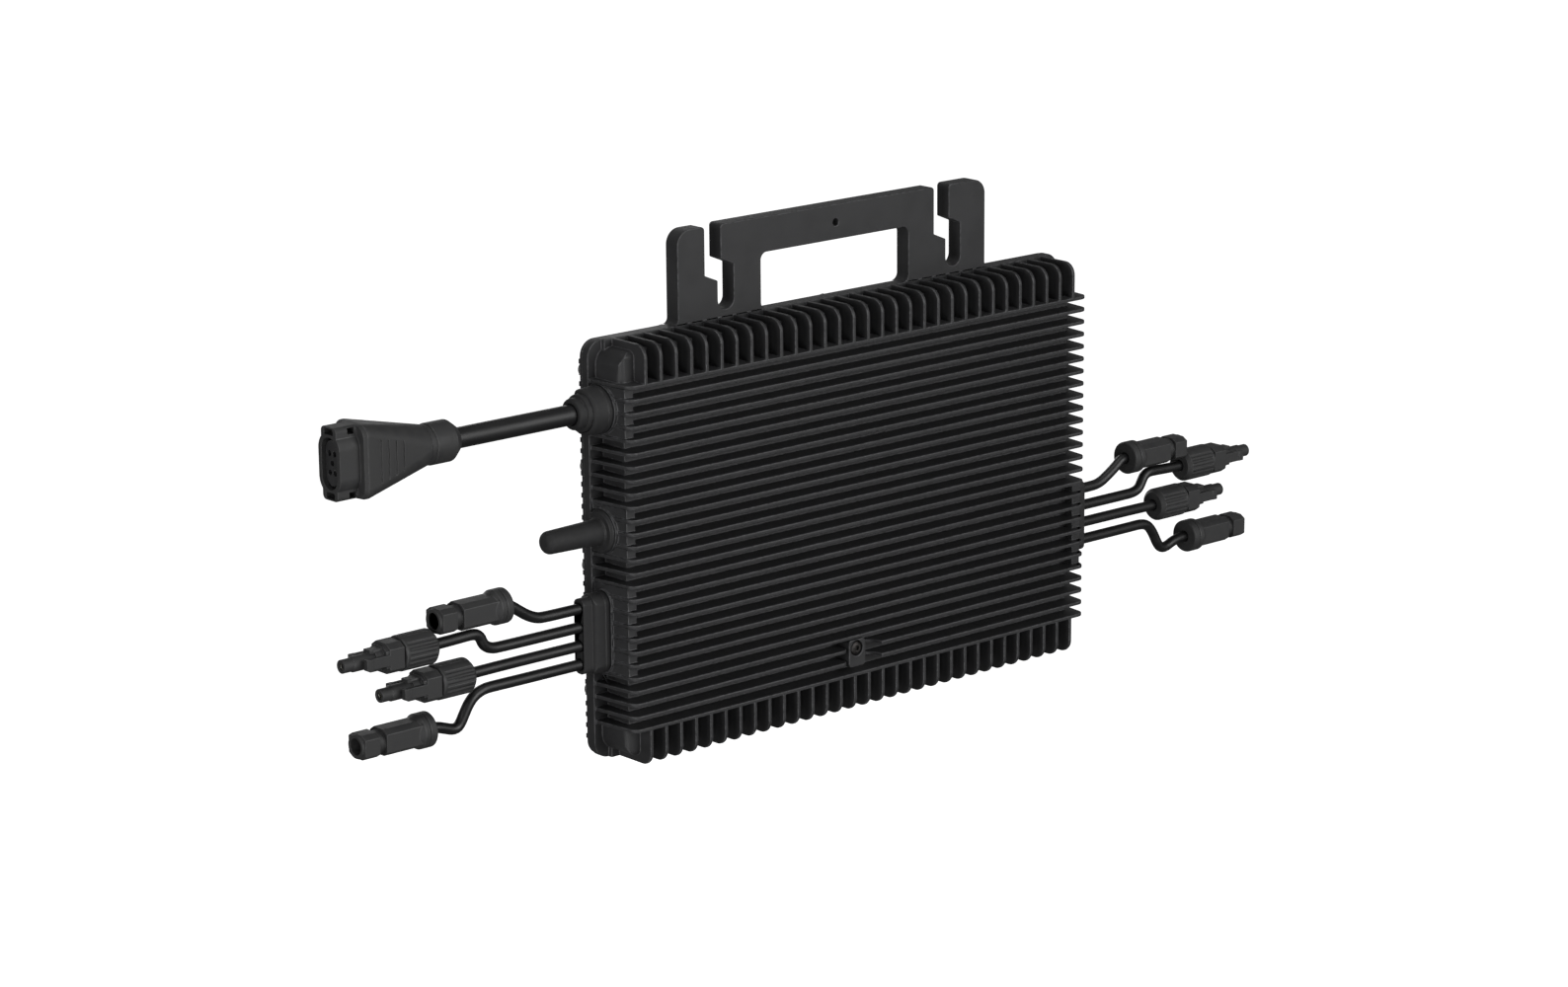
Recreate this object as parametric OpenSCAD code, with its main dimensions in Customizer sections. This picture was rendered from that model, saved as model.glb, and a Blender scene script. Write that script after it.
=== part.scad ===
// Solar microinverter with four DC inputs, in millimetres.
// The shapes are laid out in the housing's frame: X to the right, Y from the fin fronts to the
// rear, Z up, with Y = 0 at the fin fronts and Z = 0 at mid height. hung() then moves them so
// that the origin lies on the rear face of the hanging bracket, on the axis of its small hole.

/* [Housing] */
// Width over the flange
housing_w = 330; // [320:1:360]
// Height over the flange
housing_h = 220; // [214:1:240]
// Depth from the fin fronts to the rear face of the cover
housing_d = 35; // [34:0.5:44]
// Corner radius of the flange
flange_r = 9; // [6:0.5:12]
// Thickness of the flange at the sides
flange_t = 5; // [4:0.5:6]
// Thickness of the flange bars along the top and the bottom
flange_bar_t = 7.5; // [6:0.5:9]
// Height of the flange bars
flange_bar_h = 6; // [4:0.5:8]
// Distance that the flange stands out beyond the core at the sides
flange_lip = 5; // [4.5:0.5:6]
// Setback of the core's sides between the level fins
band_inset = 4; // [3:0.5:4.5]
// Height of the flange above the core at the top and the bottom
flange_lip_z = 4; // [3:0.5:5]
// Corner radius of the core
core_r = 9; // [6:0.5:12]
// Edge radius of the core's front
core_edge_r = 3.5; // [2:0.5:4]
// Wall of the core at its sides
side_wall = 4; // [3:0.5:5]
// Wall of the core at the top and the bottom
end_wall = 6; // [5:0.5:8]
// Wall between the level fins and the inside
front_wall = 3; // [2.5:0.5:4]

/* [Fins] */
// Pitch of the level fins
level_pitch = 6.9; // [6.6:0.1:7]
// Depth of the level fins in front of the core
level_depth = 11; // [10:0.5:12]
// Pitch of the upright fins
upright_pitch = 10; // [9.5:0.1:10.1]
// Depth of the upright fins in front of the core
upright_depth = 8.5; // [7:0.5:10]
// Thickness of every fin
fin_t = 1.9; // [1.6:0.1:2.4]
// Plan corner radius of the level fins
level_corner_r = 5; // [4:0.5:6]
// Corner radius of the upright fins
upright_corner_r = 7; // [5:0.5:8]
// Setback of the level fins' fronts from the flange's side
fin_setback = 3.75; // [3.5:0.25:5]
// Setback of the level fins' roots from the flange's side
fin_root_setback = 1; // [0.5:0.25:1.5]

/* [Bracket] */
// Width of the hanging bracket
bracket_w = 215; // [205:1:230]
// Height of the bracket above the housing
bracket_h = 48.5; // [44:0.5:60]
// Thickness of the bracket
bracket_t = 9.5; // [8:0.5:11]
// Radius of the bracket's outer top corners
bracket_r = 8; // [5:0.5:10]
// Radius of the fillet at the bracket's foot
foot_fillet_r = 3; // [2:0.5:5]
// Spacing of the two stepped bolt slots
slot_spacing = 159.6; // [156:0.1:163]
// Radius of the edges at the top of each slot
slot_edge_r = 2; // [1:0.5:3]
// Width of each slot
slot_w = 10.7; // [8:0.1:11]
// Sideways step between a slot's mouth and its seat
slot_step = 8.5; // [8:0.1:9]
// Height of a slot's seat above the housing
slot_floor = 4; // [3:0.5:6]
// Height of the step's low edge above the housing
slot_step_low = 19.4; // [18:0.1:20]
// Height of the step's high edge above the housing
slot_step_high = 30.5; // [30:0.1:32]
// Fall of the step's edges along the step
slot_step_fall = 3.6; // [2:0.1:4]
// Width of the bracket's window
window_w = 103.4; // [80:0.1:110]
// Height of the bracket's window
window_h = 29.8; // [20:0.1:32]
// Corner radius of the window
window_r = 4; // [2:0.5:6]
// Diameter of the small hole in the bracket
tether_d = 4; // [3:0.1:6]
// Height of the small hole above the housing
tether_z = 39; // [36:0.5:42]

/* [Cover] */
// Thickness of the rear cover
cover_t = 2; // [1.5:0.1:3]
// Inset of the cover from the flange's edge
cover_inset = 0.5; // [0.3:0.1:1]
// Height of the ribs on the cover's side margins
rib_h = 1; // [0.6:0.1:1.4]
// Width of a rib
rib_w = 2.6; // [2:0.1:3.4]
// Pitch of the ribs
rib_pitch = 5.8; // [5:0.1:7]
// Length of a rib
rib_l = 24; // [16:1:30]
// Width of the gasket cord
gasket_w = 1.8; // [1.4:0.1:2]
// Height of the gasket cord when pressed
gasket_h = 1.3; // [1:0.1:1.6]

/* [Screws] */
// Thread diameter of the cover screws
cover_screw_d = 4; // [3:0.5:4]
// Head diameter of the cover screws
cover_head_d = 7.6; // [6:0.2:8]
// Head height of the cover screws
cover_head_h = 2.8; // [2:0.1:3.2]
// Length of the cover screws under the head
cover_screw_l = 6.4; // [5:0.2:6.8]
// Distance of the cover screws from the flange's edge
screw_inset = 4.5; // [4.3:0.1:4.6]
// Thread diameter of the ground screw
ground_screw_d = 4; // [3:0.5:5]
// Head diameter of the ground screw
ground_head_d = 7; // [6:0.2:8]
// Head height of the ground screw
ground_head_h = 2.4; // [2:0.1:2.6]
// Length of the ground screw under the head
ground_screw_l = 7; // [5:0.5:8]
// Thickness of the ground washer
washer_t = 0.8; // [0.5:0.1:1]
// Diameter of the ground washer
washer_d = 7.8; // [7.2:0.2:8.2]

/* [Glands] */
// Distance of the gland axes from the fin fronts
lead_y = 22.2; // [21.8:0.1:22.4]
// Height of the AC gland's axis
ac_z = 76; // [75:0.2:77]
// Diameter of the AC cable
ac_cable_d = 10.6; // [9:0.2:11]
// Diameter of the AC gland's foot
ac_foot_d = 25; // [24.8:0.2:25.6]
// Diameter of the AC gland's middle step
ac_step_d = 19.4; // [18.6:0.2:19.4]
// Diameter of the AC gland's mouth
ac_mouth_d = 16.2; // [15.6:0.2:16.6]
// Length of the AC gland's foot
ac_foot_l = 10.6; // [8:0.2:12]
// Length of the AC gland's middle step
ac_step_l = 2.4; // [2:0.2:4]
// Length of the AC gland's mouth
ac_mouth_l = 4; // [3:0.2:6]
// Diameter of the AC gland's spigot in the wall
ac_spigot_d = 9.6; // [9:0.2:9.8]
// Height of the middle of the DC glands
dc_z = -40; // [-41:0.2:-38]
// Pitch of the DC cables in a gland
dc_pitch = 9.8; // [9.2:0.1:10.2]
// Diameter of the DC cables
dc_cable_d = 5.8; // [5:0.1:6.4]
// Height of a DC gland's foot
dc_foot_h = 43; // [42:0.5:46]
// Depth of a DC gland's foot
dc_foot_w = 13.4; // [12.6:0.2:14]
// Length of a DC gland's foot
dc_foot_l = 9; // [7:0.2:10]
// Height of a DC gland's step
dc_step_h = 40; // [38.6:0.2:41]
// Depth of a DC gland's step
dc_step_w = 8.4; // [8:0.1:9]
// Length of a DC gland's step
dc_step_l = 5.6; // [4:0.2:7]
// Depth of a DC gland's spigot in the wall
dc_spigot_w = 8.6; // [8:0.2:9]
// Height of the antenna's axis
antenna_z = 12.7; // [11:0.1:14]
// Diameter of the antenna cover's foot
antenna_foot_d = 23; // [21:0.5:24]
// Diameter of the antenna at its root
antenna_root_d = 13.4; // [12:0.2:15]
// Diameter of the antenna at its tip
antenna_tip_d = 12; // [10:0.2:12.4]
// Length of the antenna beyond the flange's side
antenna_l = 35; // [30:1:50]
// Wall of the antenna cover
antenna_wall = 1.6; // [1.2:0.1:2]
// Diameter of the antenna's inner rod
antenna_rod_d = 3; // [2:0.2:4]
// Thickness of the seals under the glands
seal_t = 0.8; // [0.5:0.1:1]
// Thickness of the plate at the foot of each gland
foot_plate_t = 2.2; // [1.6:0.2:3]
// Recess of the bosses round the glands behind the fins' sides
boss_recess = 0.5; // [0.4:0.1:1]
// Distance of the bosses from the fin fronts
boss_front_y = 4.5; // [3:0.5:8]

/* [AC connector] */
// Length of the clamping nut
ac_nut_l = 17; // [15:0.5:20]
// Diameter of the clamping nut
ac_nut_d = 21.2; // [20:0.2:23]
// Length of the tapered body
ac_body_l = 45; // [40:1:50]
// Height of the tapered body at its front
ac_body_h = 37; // [36:0.5:42]
// Depth of the tapered body at its front
ac_body_w = 27; // [24:0.5:30]
// Length of the front housing
ac_front_l = 12; // [11:0.5:15]
// Height of the oval mouth
ac_oval_h = 31; // [30:0.5:33]
// Depth of the oval mouth
ac_oval_w = 17.6; // [17:0.2:20]
// Depth of the latch blocks
ac_latch_w = 12.4; // [11:0.2:13]
// Wall round the oval recess
ac_mouth_wall = 2.6; // [2:0.1:3]
// Depth of the recess in front of the contact insert
ac_recess_l = 7; // [6:0.5:9]
// Length of the contact insert
ac_insert_l = 22; // [18:1:24]
// Outer diameter of a contact
ac_contact_d = 3.2; // [2.8:0.1:3.4]
// Bore of a contact
ac_contact_bore = 2; // [1.6:0.1:2.2]

/* [DC connectors] */
// Largest diameter of sockets and plugs
dc_round_d = 18.3; // [17.8:0.1:19]
// Length of a socket
socket_l = 44; // [42:0.5:48]
// Length of a socket's rear cap
socket_cap_l = 4.5; // [4:0.5:6]
// Length of a socket's round collar
collar_l = 3; // [2:0.5:4]
// Length of the cone in front of the collar
collar_cone_l = 3; // [2:0.5:4]
// Length of a socket's front block
socket_front_l = 10; // [8:0.5:11]
// Width of the neck behind the front block
socket_neck_l = 4; // [3:0.5:5]
// Diameter of a socket's neck
socket_neck_d = 11.6; // [10.6:0.2:11.8]
// Depth of a socket's body
socket_w = 14.4; // [14:0.2:15.4]
// Height of a socket's body
socket_h = 13.8; // [13.4:0.2:14.6]
// Depth of a socket's bore
socket_bore_l = 27; // [24:1:30]
// Length of a plug
plug_l = 54.5; // [52:0.5:57]
// Length of a plug's clamping nut
plug_nut_l = 21; // [19:0.5:23]
// Length of a plug's body in front of the nut
plug_body_l = 11; // [9:0.5:13]
// Height and depth of a plug's body
plug_body_w = 15.6; // [15:0.2:16.4]
// Groove between a plug's nut and its body
plug_seam = 0.6; // [0.4:0.1:1]
// Length of the short shoulders above and below a plug's stem
plug_shoulder_l = 7; // [5:0.5:9]
// Length of the collar on a plug's stem
plug_collar_l = 4.5; // [3:0.5:6]
// Diameter of the collar on a plug's stem
plug_collar_d = 11; // [10:0.2:12]
// Diameter of a plug's stem
plug_stem_d = 8; // [7.4:0.1:8.4]
// Diameter of a plug's tip
plug_tip_d = 7; // [6:0.1:7.2]
// Length of a plug's tip
plug_tip_l = 6; // [4:0.5:8]
// Length of a plug's latch arms
plug_arm_l = 14; // [12:0.5:15]
// Thickness of a latch arm
plug_arm_t = 2.2; // [1.8:0.1:2.6]
// Width of a latch arm
plug_arm_w = 5.6; // [5:0.1:6]
// Diameter of a DC contact pin
dc_pin_d = 2.4; // [2:0.1:2.6]
// Wall of a DC contact sleeve
dc_sleeve_wall = 0.4; // [0.3:0.05:0.5]

/* [Electronics] */
// Gap between the circuit board and the side walls
board_side_gap = 7; // [6:0.5:12]
// Gap between the circuit board and the end walls
board_end_gap = 5; // [4:0.5:8]
// Thickness of the circuit board
board_t = 1.6; // [1.2:0.1:2]
// Room behind the circuit board
board_rear_gap = 3; // [2.6:0.1:3.4]
// Diameter of the board posts
post_d = 8; // [7:0.5:9]
// Thread diameter of the board screws
board_screw_d = 3; // [2.5:0.5:3]
// Head height of the board screws
board_head_h = 1.9; // [1.6:0.1:2]
// Width of a transformer core
core_w = 38; // [34:1:40]
// Height of a transformer core
core_h = 30; // [26:1:34]
// Depth of a transformer core
core_d = 12.4; // [12:0.1:12.6]
// Depth of the winding space in a core
winding_d = 6; // [5:0.5:6.5]
// Spacing of the transformers
transformer_pitch = 66; // [60:1:70]

/* [Hidden] */
$fn = 48;

// Clearances
fit = 0.15;
seat_gap = 0.3;
through = 1;

// Places along the depth
cover_front_y = housing_d - cover_t;
flange_front_y = cover_front_y - flange_t;
bar_front_y = cover_front_y - flange_bar_t;
bracket_front_y = housing_d - bracket_t;
inside_front_y = level_depth + front_wall;

// Half sizes of the core and of the inside
core_half_w = housing_w / 2 - flange_lip;
level_fins = 2 * floor((housing_h / 2 - 20) / level_pitch) + 1;
upright_fins = 2 * floor((core_half_w - 7) / upright_pitch) + 1;
level_top_z = (level_fins - 1) / 2 * level_pitch;
core_half_h = housing_h / 2 - flange_lip_z;
band_half_w = core_half_w - band_inset;
band_half_h = level_top_z + fin_t / 2 - 0.2;
inside_half_w = band_half_w - side_wall;
inside_half_h = core_half_h - end_wall;

// Side faces that carry the glands
pad_x = housing_w / 2 - fin_root_setback - 0.8;
gland_x = pad_x + seal_t;
pad_margin = 1;
spigot_x = inside_half_w - 1;
ac_foot_x = gland_x + ac_foot_l;
dc_foot_x = gland_x + dc_foot_l;
antenna_foot_x = pad_x + foot_plate_t;
foot_flat_y = flange_front_y - 0.7;

// Board
board_w = 2 * (inside_half_w - board_side_gap);
board_h = 2 * (inside_half_h - board_end_gap);
board_back_y = cover_front_y - board_rear_gap;
board_front_y = board_back_y - board_t;
board_screw_bite = 5;

// Parts on the board, their sizes as [x, y, z]
transformer_z = 12;
core_front_y = board_front_y - core_d;
capacitor_z = 57 - board_h / 2;
capacitor_can_d = 12.5;
capacitor_can_l = 25;
transistor_z = 31 - board_h / 2;
transistor_size = [10, 4.5, 9];
transistor_row_pitch = 13;
output_row_z = board_h / 2 - 29;
film_size = [32, 13, 18];
film_x = 96;
relay_size = [29, 12.8, 20];
relay_x = -40;
choke_x = 30;
choke_h = 13;
choke_inner_r = 6;
choke_outer_r = 14;
radio_size = [16, 3, 24];
radio_inset = 13;

// Cover screws: a row along the top, one along the bottom, and columns at the sides
screw_half_w = housing_w / 2 - screw_inset;
screw_half_h = housing_h / 2 - screw_inset;
side_screw_z = [housing_h / 2 - 16, 44, -8, 36 - housing_h / 2];
end_screw_pitch = 55;
end_screw_x = [for (i = [-2 : 2]) i * end_screw_pitch];
screw_places = concat(
    [for (side = [-1, 1], z = side_screw_z) [side * screw_half_w, z]],
    [for (end = [-1, 1], x = end_screw_x) [x, end * screw_half_h]]);

// Board posts
post_inset = 7;
post_x = board_w / 2 - post_inset;
post_z = board_h / 2 - post_inset;
post_places = [for (x = [-post_x, -post_x / 3, post_x / 3, post_x], z = [-post_z, post_z]) [x, z]];
board_hole_d = board_screw_d + 2 * fit;

// Ground pad between the lower fins
ground_x = -8.5;
ground_z = -75.6;
pad_left_x = -14.5;
pad_right_x = -2;
pad_left_r = 4;
ground_recess_d = washer_d + 2 * seat_gap;
ground_recess_y = ground_head_h + washer_t + 0.4;
pad_front_y = 0.6;

// Heights of the four DC cables in a gland, from the top
function dc_lead_z(i) = dc_z + (1.5 - i) * dc_pitch;

// Routes of the cables as [x, z] at the depth of the gland axes
ac_route = [[-179.5, 76], [-199, 76], [-218, 76], [-238, 76], [-257.3, 76]];
left_route_1 = [[-177.1, -25.3], [-190, -25.3], [-199, -25.2], [-204, -24.9], [-208, -23.7],
    [-212.2, -21.6], [-216.2, -19], [-220, -16.4], [-223.5, -14.5], [-227.2, -13.9]];
left_route_2 = [[-177.1, -35.1], [-196, -35.1], [-214, -35.1], [-230, -35], [-234, -34.6],
    [-236.7, -33.6], [-238.7, -32.1], [-240, -30.2], [-241.2, -27.8], [-243.6, -25.9],
    [-247, -25.3], [-252, -25.4], [-263, -25.7], [-274.3, -25.8]];
left_route_3 = [[-177.1, -44.9], [-197, -44.9], [-216, -44.9], [-234, -45], [-252.2, -45.2]];
left_route_4 = [[-177.1, -54.7], [-197, -54.7], [-216, -54.7], [-234, -54.6], [-239.4, -54.9],
    [-243.6, -56.1], [-247, -58.2], [-249.8, -61.3], [-252.3, -65.3], [-254.8, -69.4],
    [-257.3, -71.4], [-260.5, -71.4], [-264.5, -70.1], [-269.5, -68.6], [-276.3, -68]];
right_route_1 = [[177.1, -25.3], [186, -25.3], [191, -25], [195, -23.9], [199, -21.9], [203, -19.6],
    [207, -17], [210.8, -14.5], [215.3, -13.9]];
right_route_2 = [[177.1, -35.1], [197, -35.1], [214, -35.1], [220, -34.9], [224, -33.8],
    [226.2, -31.8], [228, -28.8], [230, -26.4], [233.5, -25.2], [239, -25.2], [249, -25.6],
    [260.9, -25.8]];
right_route_3 = [[177.1, -44.9], [197, -44.9], [218, -45], [239.8, -45.2]];
right_route_4 = [[177.1, -54.7], [198, -54.7], [217, -54.7], [226, -54.7], [230.8, -55.6],
    [234.2, -57.8], [237.2, -61.7], [240.4, -67.3], [242.8, -70.4], [245.6, -71.6], [248.8, -71.2],
    [252.6, -69.8], [257.5, -68.6], [264.4, -68.3]];
left_routes = [left_route_1, left_route_2, left_route_3, left_route_4];
right_routes = [right_route_1, right_route_2, right_route_3, right_route_4];

// Depth of the recess that a cable enters in a gland, a cap or a nut
entry_l = 1.5;
plug_entry_l = 3;
ac_entry_l = 3;
entry_clearance = 0.3;

// Colours
cast_black = "#3a3b3d";
plate_black = "#333436";
moulded_black = "#2c2d2f";
rubber_black = "#222324";
steel = "#b9bcc0";
tinned = "#c8c9c4";
board_green = "#1f5a3c";
ferrite = "#4a4b50";
copper = "#b06a3a";
white_pad = "#d8dcdc";
can_silver = "#a9adb3";
film_blue = "#2b4a7a";

// Moves a shape from the housing's frame to the part's frame
module hung() {
    translate([0, -housing_d, -(housing_h / 2 + tether_z)]) children();
}

// An outline drawn as [x, z], made solid from depth y0 to depth y1
module slab_y(y0, y1) {
    translate([0, y1, 0]) rotate([90, 0, 0]) linear_extrude(y1 - y0) children();
}

// An outline drawn as [y, z], made solid from x0 to x1
module slab_x(x0, x1) {
    translate([x0, 0, 0]) rotate([90, 0, 90]) linear_extrude(x1 - x0) children();
}

// An outline drawn as [x, y], made solid from z0 to z1
module slab_z(z0, z1) {
    translate([0, 0, z0]) linear_extrude(z1 - z0) children();
}

// A round bar along X
module bar_x(x0, x1, d) {
    translate([x0, 0, 0]) rotate([0, 90, 0]) cylinder(h = x1 - x0, d = d);
}

// A round bar along Y
module bar_y(y0, y1, d) {
    translate([0, y0, 0]) rotate([-90, 0, 0]) cylinder(h = y1 - y0, d = d);
}

// A turned shape about X, from points [x, radius]
module turned_x(points) {
    rotate([0, 90, 0]) rotate_extrude() polygon([for (p = points) [p[1], p[0]]]);
}

// A rectangle with round corners, about its centre
module round_rect(w, h, r) {
    square([w - 2 * r, h], center = true);
    square([w, h - 2 * r], center = true);
    for (sx = [-1, 1], sy = [-1, 1]) translate([sx * (w / 2 - r), sy * (h / 2 - r)]) circle(r);
}

// A rectangle from x = 0 to x = depth, with round corners at x = 0 only
module front_rounded(depth, h, r) {
    translate([r, -h / 2]) square([depth - r, h]);
    translate([0, r - h / 2]) square([depth, h - 2 * r]);
    for (s = [-1, 1]) translate([r, s * (h / 2 - r)]) circle(r);
}

// One block of the core, with its front edges rounded, between the depths front and back
module core_block(front, back, half_h) {
    intersection() {
        slab_y(front, back) round_rect(2 * core_half_w, 2 * half_h, core_r);
        slab_x(-core_half_w, core_half_w)
            translate([front, 0]) front_rounded(back - front, 2 * half_h, core_edge_r);
        slab_z(-half_h, half_h) translate([0, front]) rotate([0, 0, 90])
            front_rounded(back - front, 2 * core_half_w, core_edge_r);
    }
}

// Plan of a level fin, its sides drawn in by an inset: straight front, round corners, sides
// that widen to the flange
module level_fin_plan(inset) {
    front_half = housing_w / 2 - fin_setback - inset;
    root_half = housing_w / 2 - fin_root_setback - inset;
    r = level_corner_r;
    translate([-(front_half - r), 0]) square([2 * (front_half - r), r]);
    for (s = [-1, 1]) translate([s * (front_half - r), r]) circle(r);
    polygon([[-front_half, r], [front_half, r], [root_half, flange_front_y + through],
        [-root_half, flange_front_y + through]]);
}

module level_fin(z) {
    slab_z(z - fin_t / 2, z + fin_t / 2) level_fin_plan(0);
}

// Side view of an upright fin at the top: its upper front corner is round
module upright_fin_side() {
    root_z = level_top_z;
    top_z = housing_h / 2;
    r = upright_corner_r;
    translate([r, root_z]) square([bar_front_y + through - r, top_z - root_z]);
    translate([0, root_z]) square([bar_front_y, top_z - r - root_z]);
    translate([r, top_z - r]) circle(r);
}

module upright_fins_top() {
    first = -(upright_fins - 1) / 2;
    for (i = [0 : upright_fins - 1]) {
        x = (first + i) * upright_pitch;
        slab_x(x - fin_t / 2, x + fin_t / 2) upright_fin_side();
    }
}

module level_fins_all() {
    for (i = [0 : level_fins - 1]) level_fin((i - (level_fins - 1) / 2) * level_pitch);
}

module flange() {
    bar_w = housing_w - 2 * flange_r;
    slab_y(flange_front_y, cover_front_y) round_rect(housing_w, housing_h, flange_r);
    for (s = [-1, 1]) slab_y(bar_front_y, cover_front_y)
        translate([0, s * (housing_h - flange_bar_h) / 2]) square([bar_w, flange_bar_h], center = true);
}

// Outline of a DC gland's foot, larger by a margin
module dc_foot_outline(margin) {
    w = dc_foot_w + margin;
    translate([lead_y, dc_z]) round_rect(w, dc_foot_h + margin, w / 2 - 0.2);
}

// The pads on a side wall: both lead outlets on the left, and the DC outlet on either side
module left_pads(x0, x1, margin) {
    translate([0, lead_y, ac_z]) bar_x(-x1, -x0, ac_foot_d + margin);
    translate([0, lead_y, antenna_z]) bar_x(-x1, -x0, antenna_foot_d + margin);
}

module dc_pads(x0, x1, margin) {
    for (side = [0, 1]) mirror([side, 0, 0]) slab_x(x0, x1) dc_foot_outline(margin);
}

// Everything in front of the depth y
module before(y) {
    slab_y(-through, y) square([housing_w + 4 * through, housing_h + 4 * through], center = true);
}

// Boss that fills the room between the level fins round an outlet of height h at height z
module side_boss(z, h) {
    low = floor((z - h / 2) / level_pitch) * level_pitch;
    high = ceil((z + h / 2) / level_pitch) * level_pitch;
    depth = flange_front_y + through - boss_front_y;
    slab_z(low, high) intersection() {
        level_fin_plan(boss_recess);
        translate([band_half_w - through, boss_front_y]) square([housing_w / 2, depth]);
    }
}

module side_bosses() {
    for (side = [0, 1]) mirror([side, 0, 0]) side_boss(dc_z, dc_foot_h);
    mirror([1, 0, 0]) side_boss(ac_z, ac_foot_d);
    mirror([1, 0, 0]) side_boss(antenna_z, antenna_foot_d);
}

// Holes in the side walls for the glands' spigots and the antenna's foot
module side_holes() {
    out_x = housing_w / 2;
    translate([0, lead_y, ac_z]) bar_x(-out_x, -spigot_x, ac_spigot_d + 2 * fit);
    translate([0, lead_y, antenna_z]) bar_x(-out_x, -spigot_x, antenna_root_d - 2 * antenna_wall);
    for (side = [0, 1]) mirror([side, 0, 0]) slab_x(spigot_x, out_x)
        translate([lead_y, dc_z]) round_rect(dc_spigot_w + 2 * fit, dc_spigot_h() + 2 * fit, dc_spigot_w / 2);
}

function dc_spigot_h() = 3 * dc_pitch + dc_spigot_w - 1;

// Outline of one stepped slot, as [x, z], with z above the housing
module slot_outline() {
    mouth_x = -slot_step / 2;
    seat_x = slot_step / 2;
    seat_z = slot_floor + slot_w / 2;
    half = slot_w / 2;
    top = bracket_h + through;
    polygon([[mouth_x - half, top], [mouth_x - half, slot_step_low + slot_step_fall],
        [seat_x - half, slot_step_low], [seat_x - half, seat_z], [seat_x + half, seat_z],
        [seat_x + half, slot_step_high - slot_step_fall], [mouth_x + half, slot_step_high],
        [mouth_x + half, top]]);
    translate([seat_x, seat_z]) circle(half);
    for (s = [-1, 1]) translate([mouth_x + s * half, bracket_h]) corner_relief(s, slot_edge_r);
}

// What a round of radius r takes off a corner at the origin that has its body below it, on side s
module corner_relief(s, r) {
    difference() {
        translate([s > 0 ? -through : -r, -r]) square([r + through, r + through]);
        translate([s * r, -r]) circle(r);
    }
}

// Outline of the bracket as [x, z], with z above the housing
module bracket_outline() {
    half = bracket_w / 2;
    foot = flange_bar_h;
    fillet = foot_fillet_r;
    translate([-half, -foot]) square([bracket_w, foot + bracket_h - bracket_r]);
    translate([-(half - bracket_r), 0]) square([bracket_w - 2 * bracket_r, bracket_h]);
    for (s = [-1, 1]) translate([s * (half - bracket_r), bracket_h - bracket_r]) circle(bracket_r);
    for (s = [-1, 1]) difference() {
        translate([s * (half + fillet / 2), 0]) square([fillet, 2 * fillet], center = true);
        translate([s * (half + fillet), fillet]) circle(fillet);
    }
}

module bracket() {
    difference() {
        translate([0, 0, housing_h / 2]) slab_y(bracket_front_y, housing_d) difference() {
            bracket_outline();
            for (s = [-1, 1]) translate([s * slot_spacing / 2, 0]) slot_outline();
            translate([0, window_h / 2]) round_rect(window_w, window_h, window_r);
            translate([0, tether_z]) circle(d = tether_d);
        }
        cover_recess();
    }
}

// The bracket's rear is cut back where the cover lies over the flange
module cover_recess() {
    slab_y(cover_front_y, housing_d + through) translate([0, -through / 2])
        square([housing_w + 2 * through, housing_h + through], center = true);
}

// Pocket in the lower fins: round fin ends on its left, hollowed fin ends on its right
module ground_pocket() {
    low = ground_z - 1.5 * level_pitch;
    high = ground_z + 0.78 * level_pitch;
    slab_z(low, high) {
        translate([pad_left_x, -through]) square([pad_right_x - pad_left_x, level_depth + through]);
        translate([pad_right_x, 0]) circle(level_depth);
        rotate([0, 0, 180]) translate([-pad_left_x, 0]) corner_relief(1, pad_left_r);
    }
}

module ground_pad() {
    low = ground_z - 1.45 * level_pitch;
    high = ground_z + 0.72 * level_pitch;
    slab_y(pad_front_y, level_depth + through) translate([(pad_left_x + pad_right_x) / 2, (low + high) / 2])
        round_rect(pad_right_x - pad_left_x - 1, high - low, 2);
}

module ground_hole() {
    translate([ground_x, 0, ground_z]) {
        bar_y(-through, ground_recess_y, ground_recess_d);
        bar_y(0, ground_recess_y + ground_screw_l + 1, ground_screw_d);
    }
}

module board_posts() {
    for (p = post_places) translate([p[0], 0, p[1]])
        bar_y(inside_front_y - through, board_front_y, post_d);
}

module screw_holes() {
    for (p = screw_places) translate([p[0], 0, p[1]])
        bar_y(cover_front_y - flange_t + 0.4, cover_front_y + through, cover_screw_d);
    for (p = post_places) translate([p[0], 0, p[1]])
        bar_y(board_front_y - board_screw_bite - 1, board_front_y + through, board_screw_d);
}

// Outline of the ring that the gasket lies in, midway between the inside and the cover screws
module gasket_ring(w) {
    half_w = (inside_half_w + screw_half_w - cover_screw_d / 2) / 2;
    half_h = (inside_half_h + screw_half_h - cover_screw_d / 2) / 2;
    difference() {
        round_rect(2 * half_w + w, 2 * half_h + w, core_r + w / 2);
        round_rect(2 * half_w - w, 2 * half_h - w, core_r - w / 2);
    }
}

module housing_body() {
    core_block(upright_depth, flange_front_y + through, core_half_h);
    flange();
    bracket();
}

// The core lies deeper between the fins than at its four corners, and its sides are drawn in
// between the level fins
module core_cuts() {
    upright_half_w = (upright_fins - 1) / 2 * upright_pitch;
    slab_y(-through, level_depth) square([2 * upright_half_w, housing_h + 2 * through], center = true);
    slab_z(-band_half_h, band_half_h) difference() {
        translate([-housing_w, -through]) square([2 * housing_w, flange_front_y + through]);
        translate([-band_half_w, level_depth]) square([2 * band_half_w, housing_d]);
    }
}

// The casting without its pads: core, flange and bracket, all the fins, and the bosses
module fins_on_core() {
    difference() {
        housing_body();
        core_cuts();
    }
    upright_fins_top();
    mirror([0, 0, 1]) upright_fins_top();
    level_fins_all();
    side_bosses();
}

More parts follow.
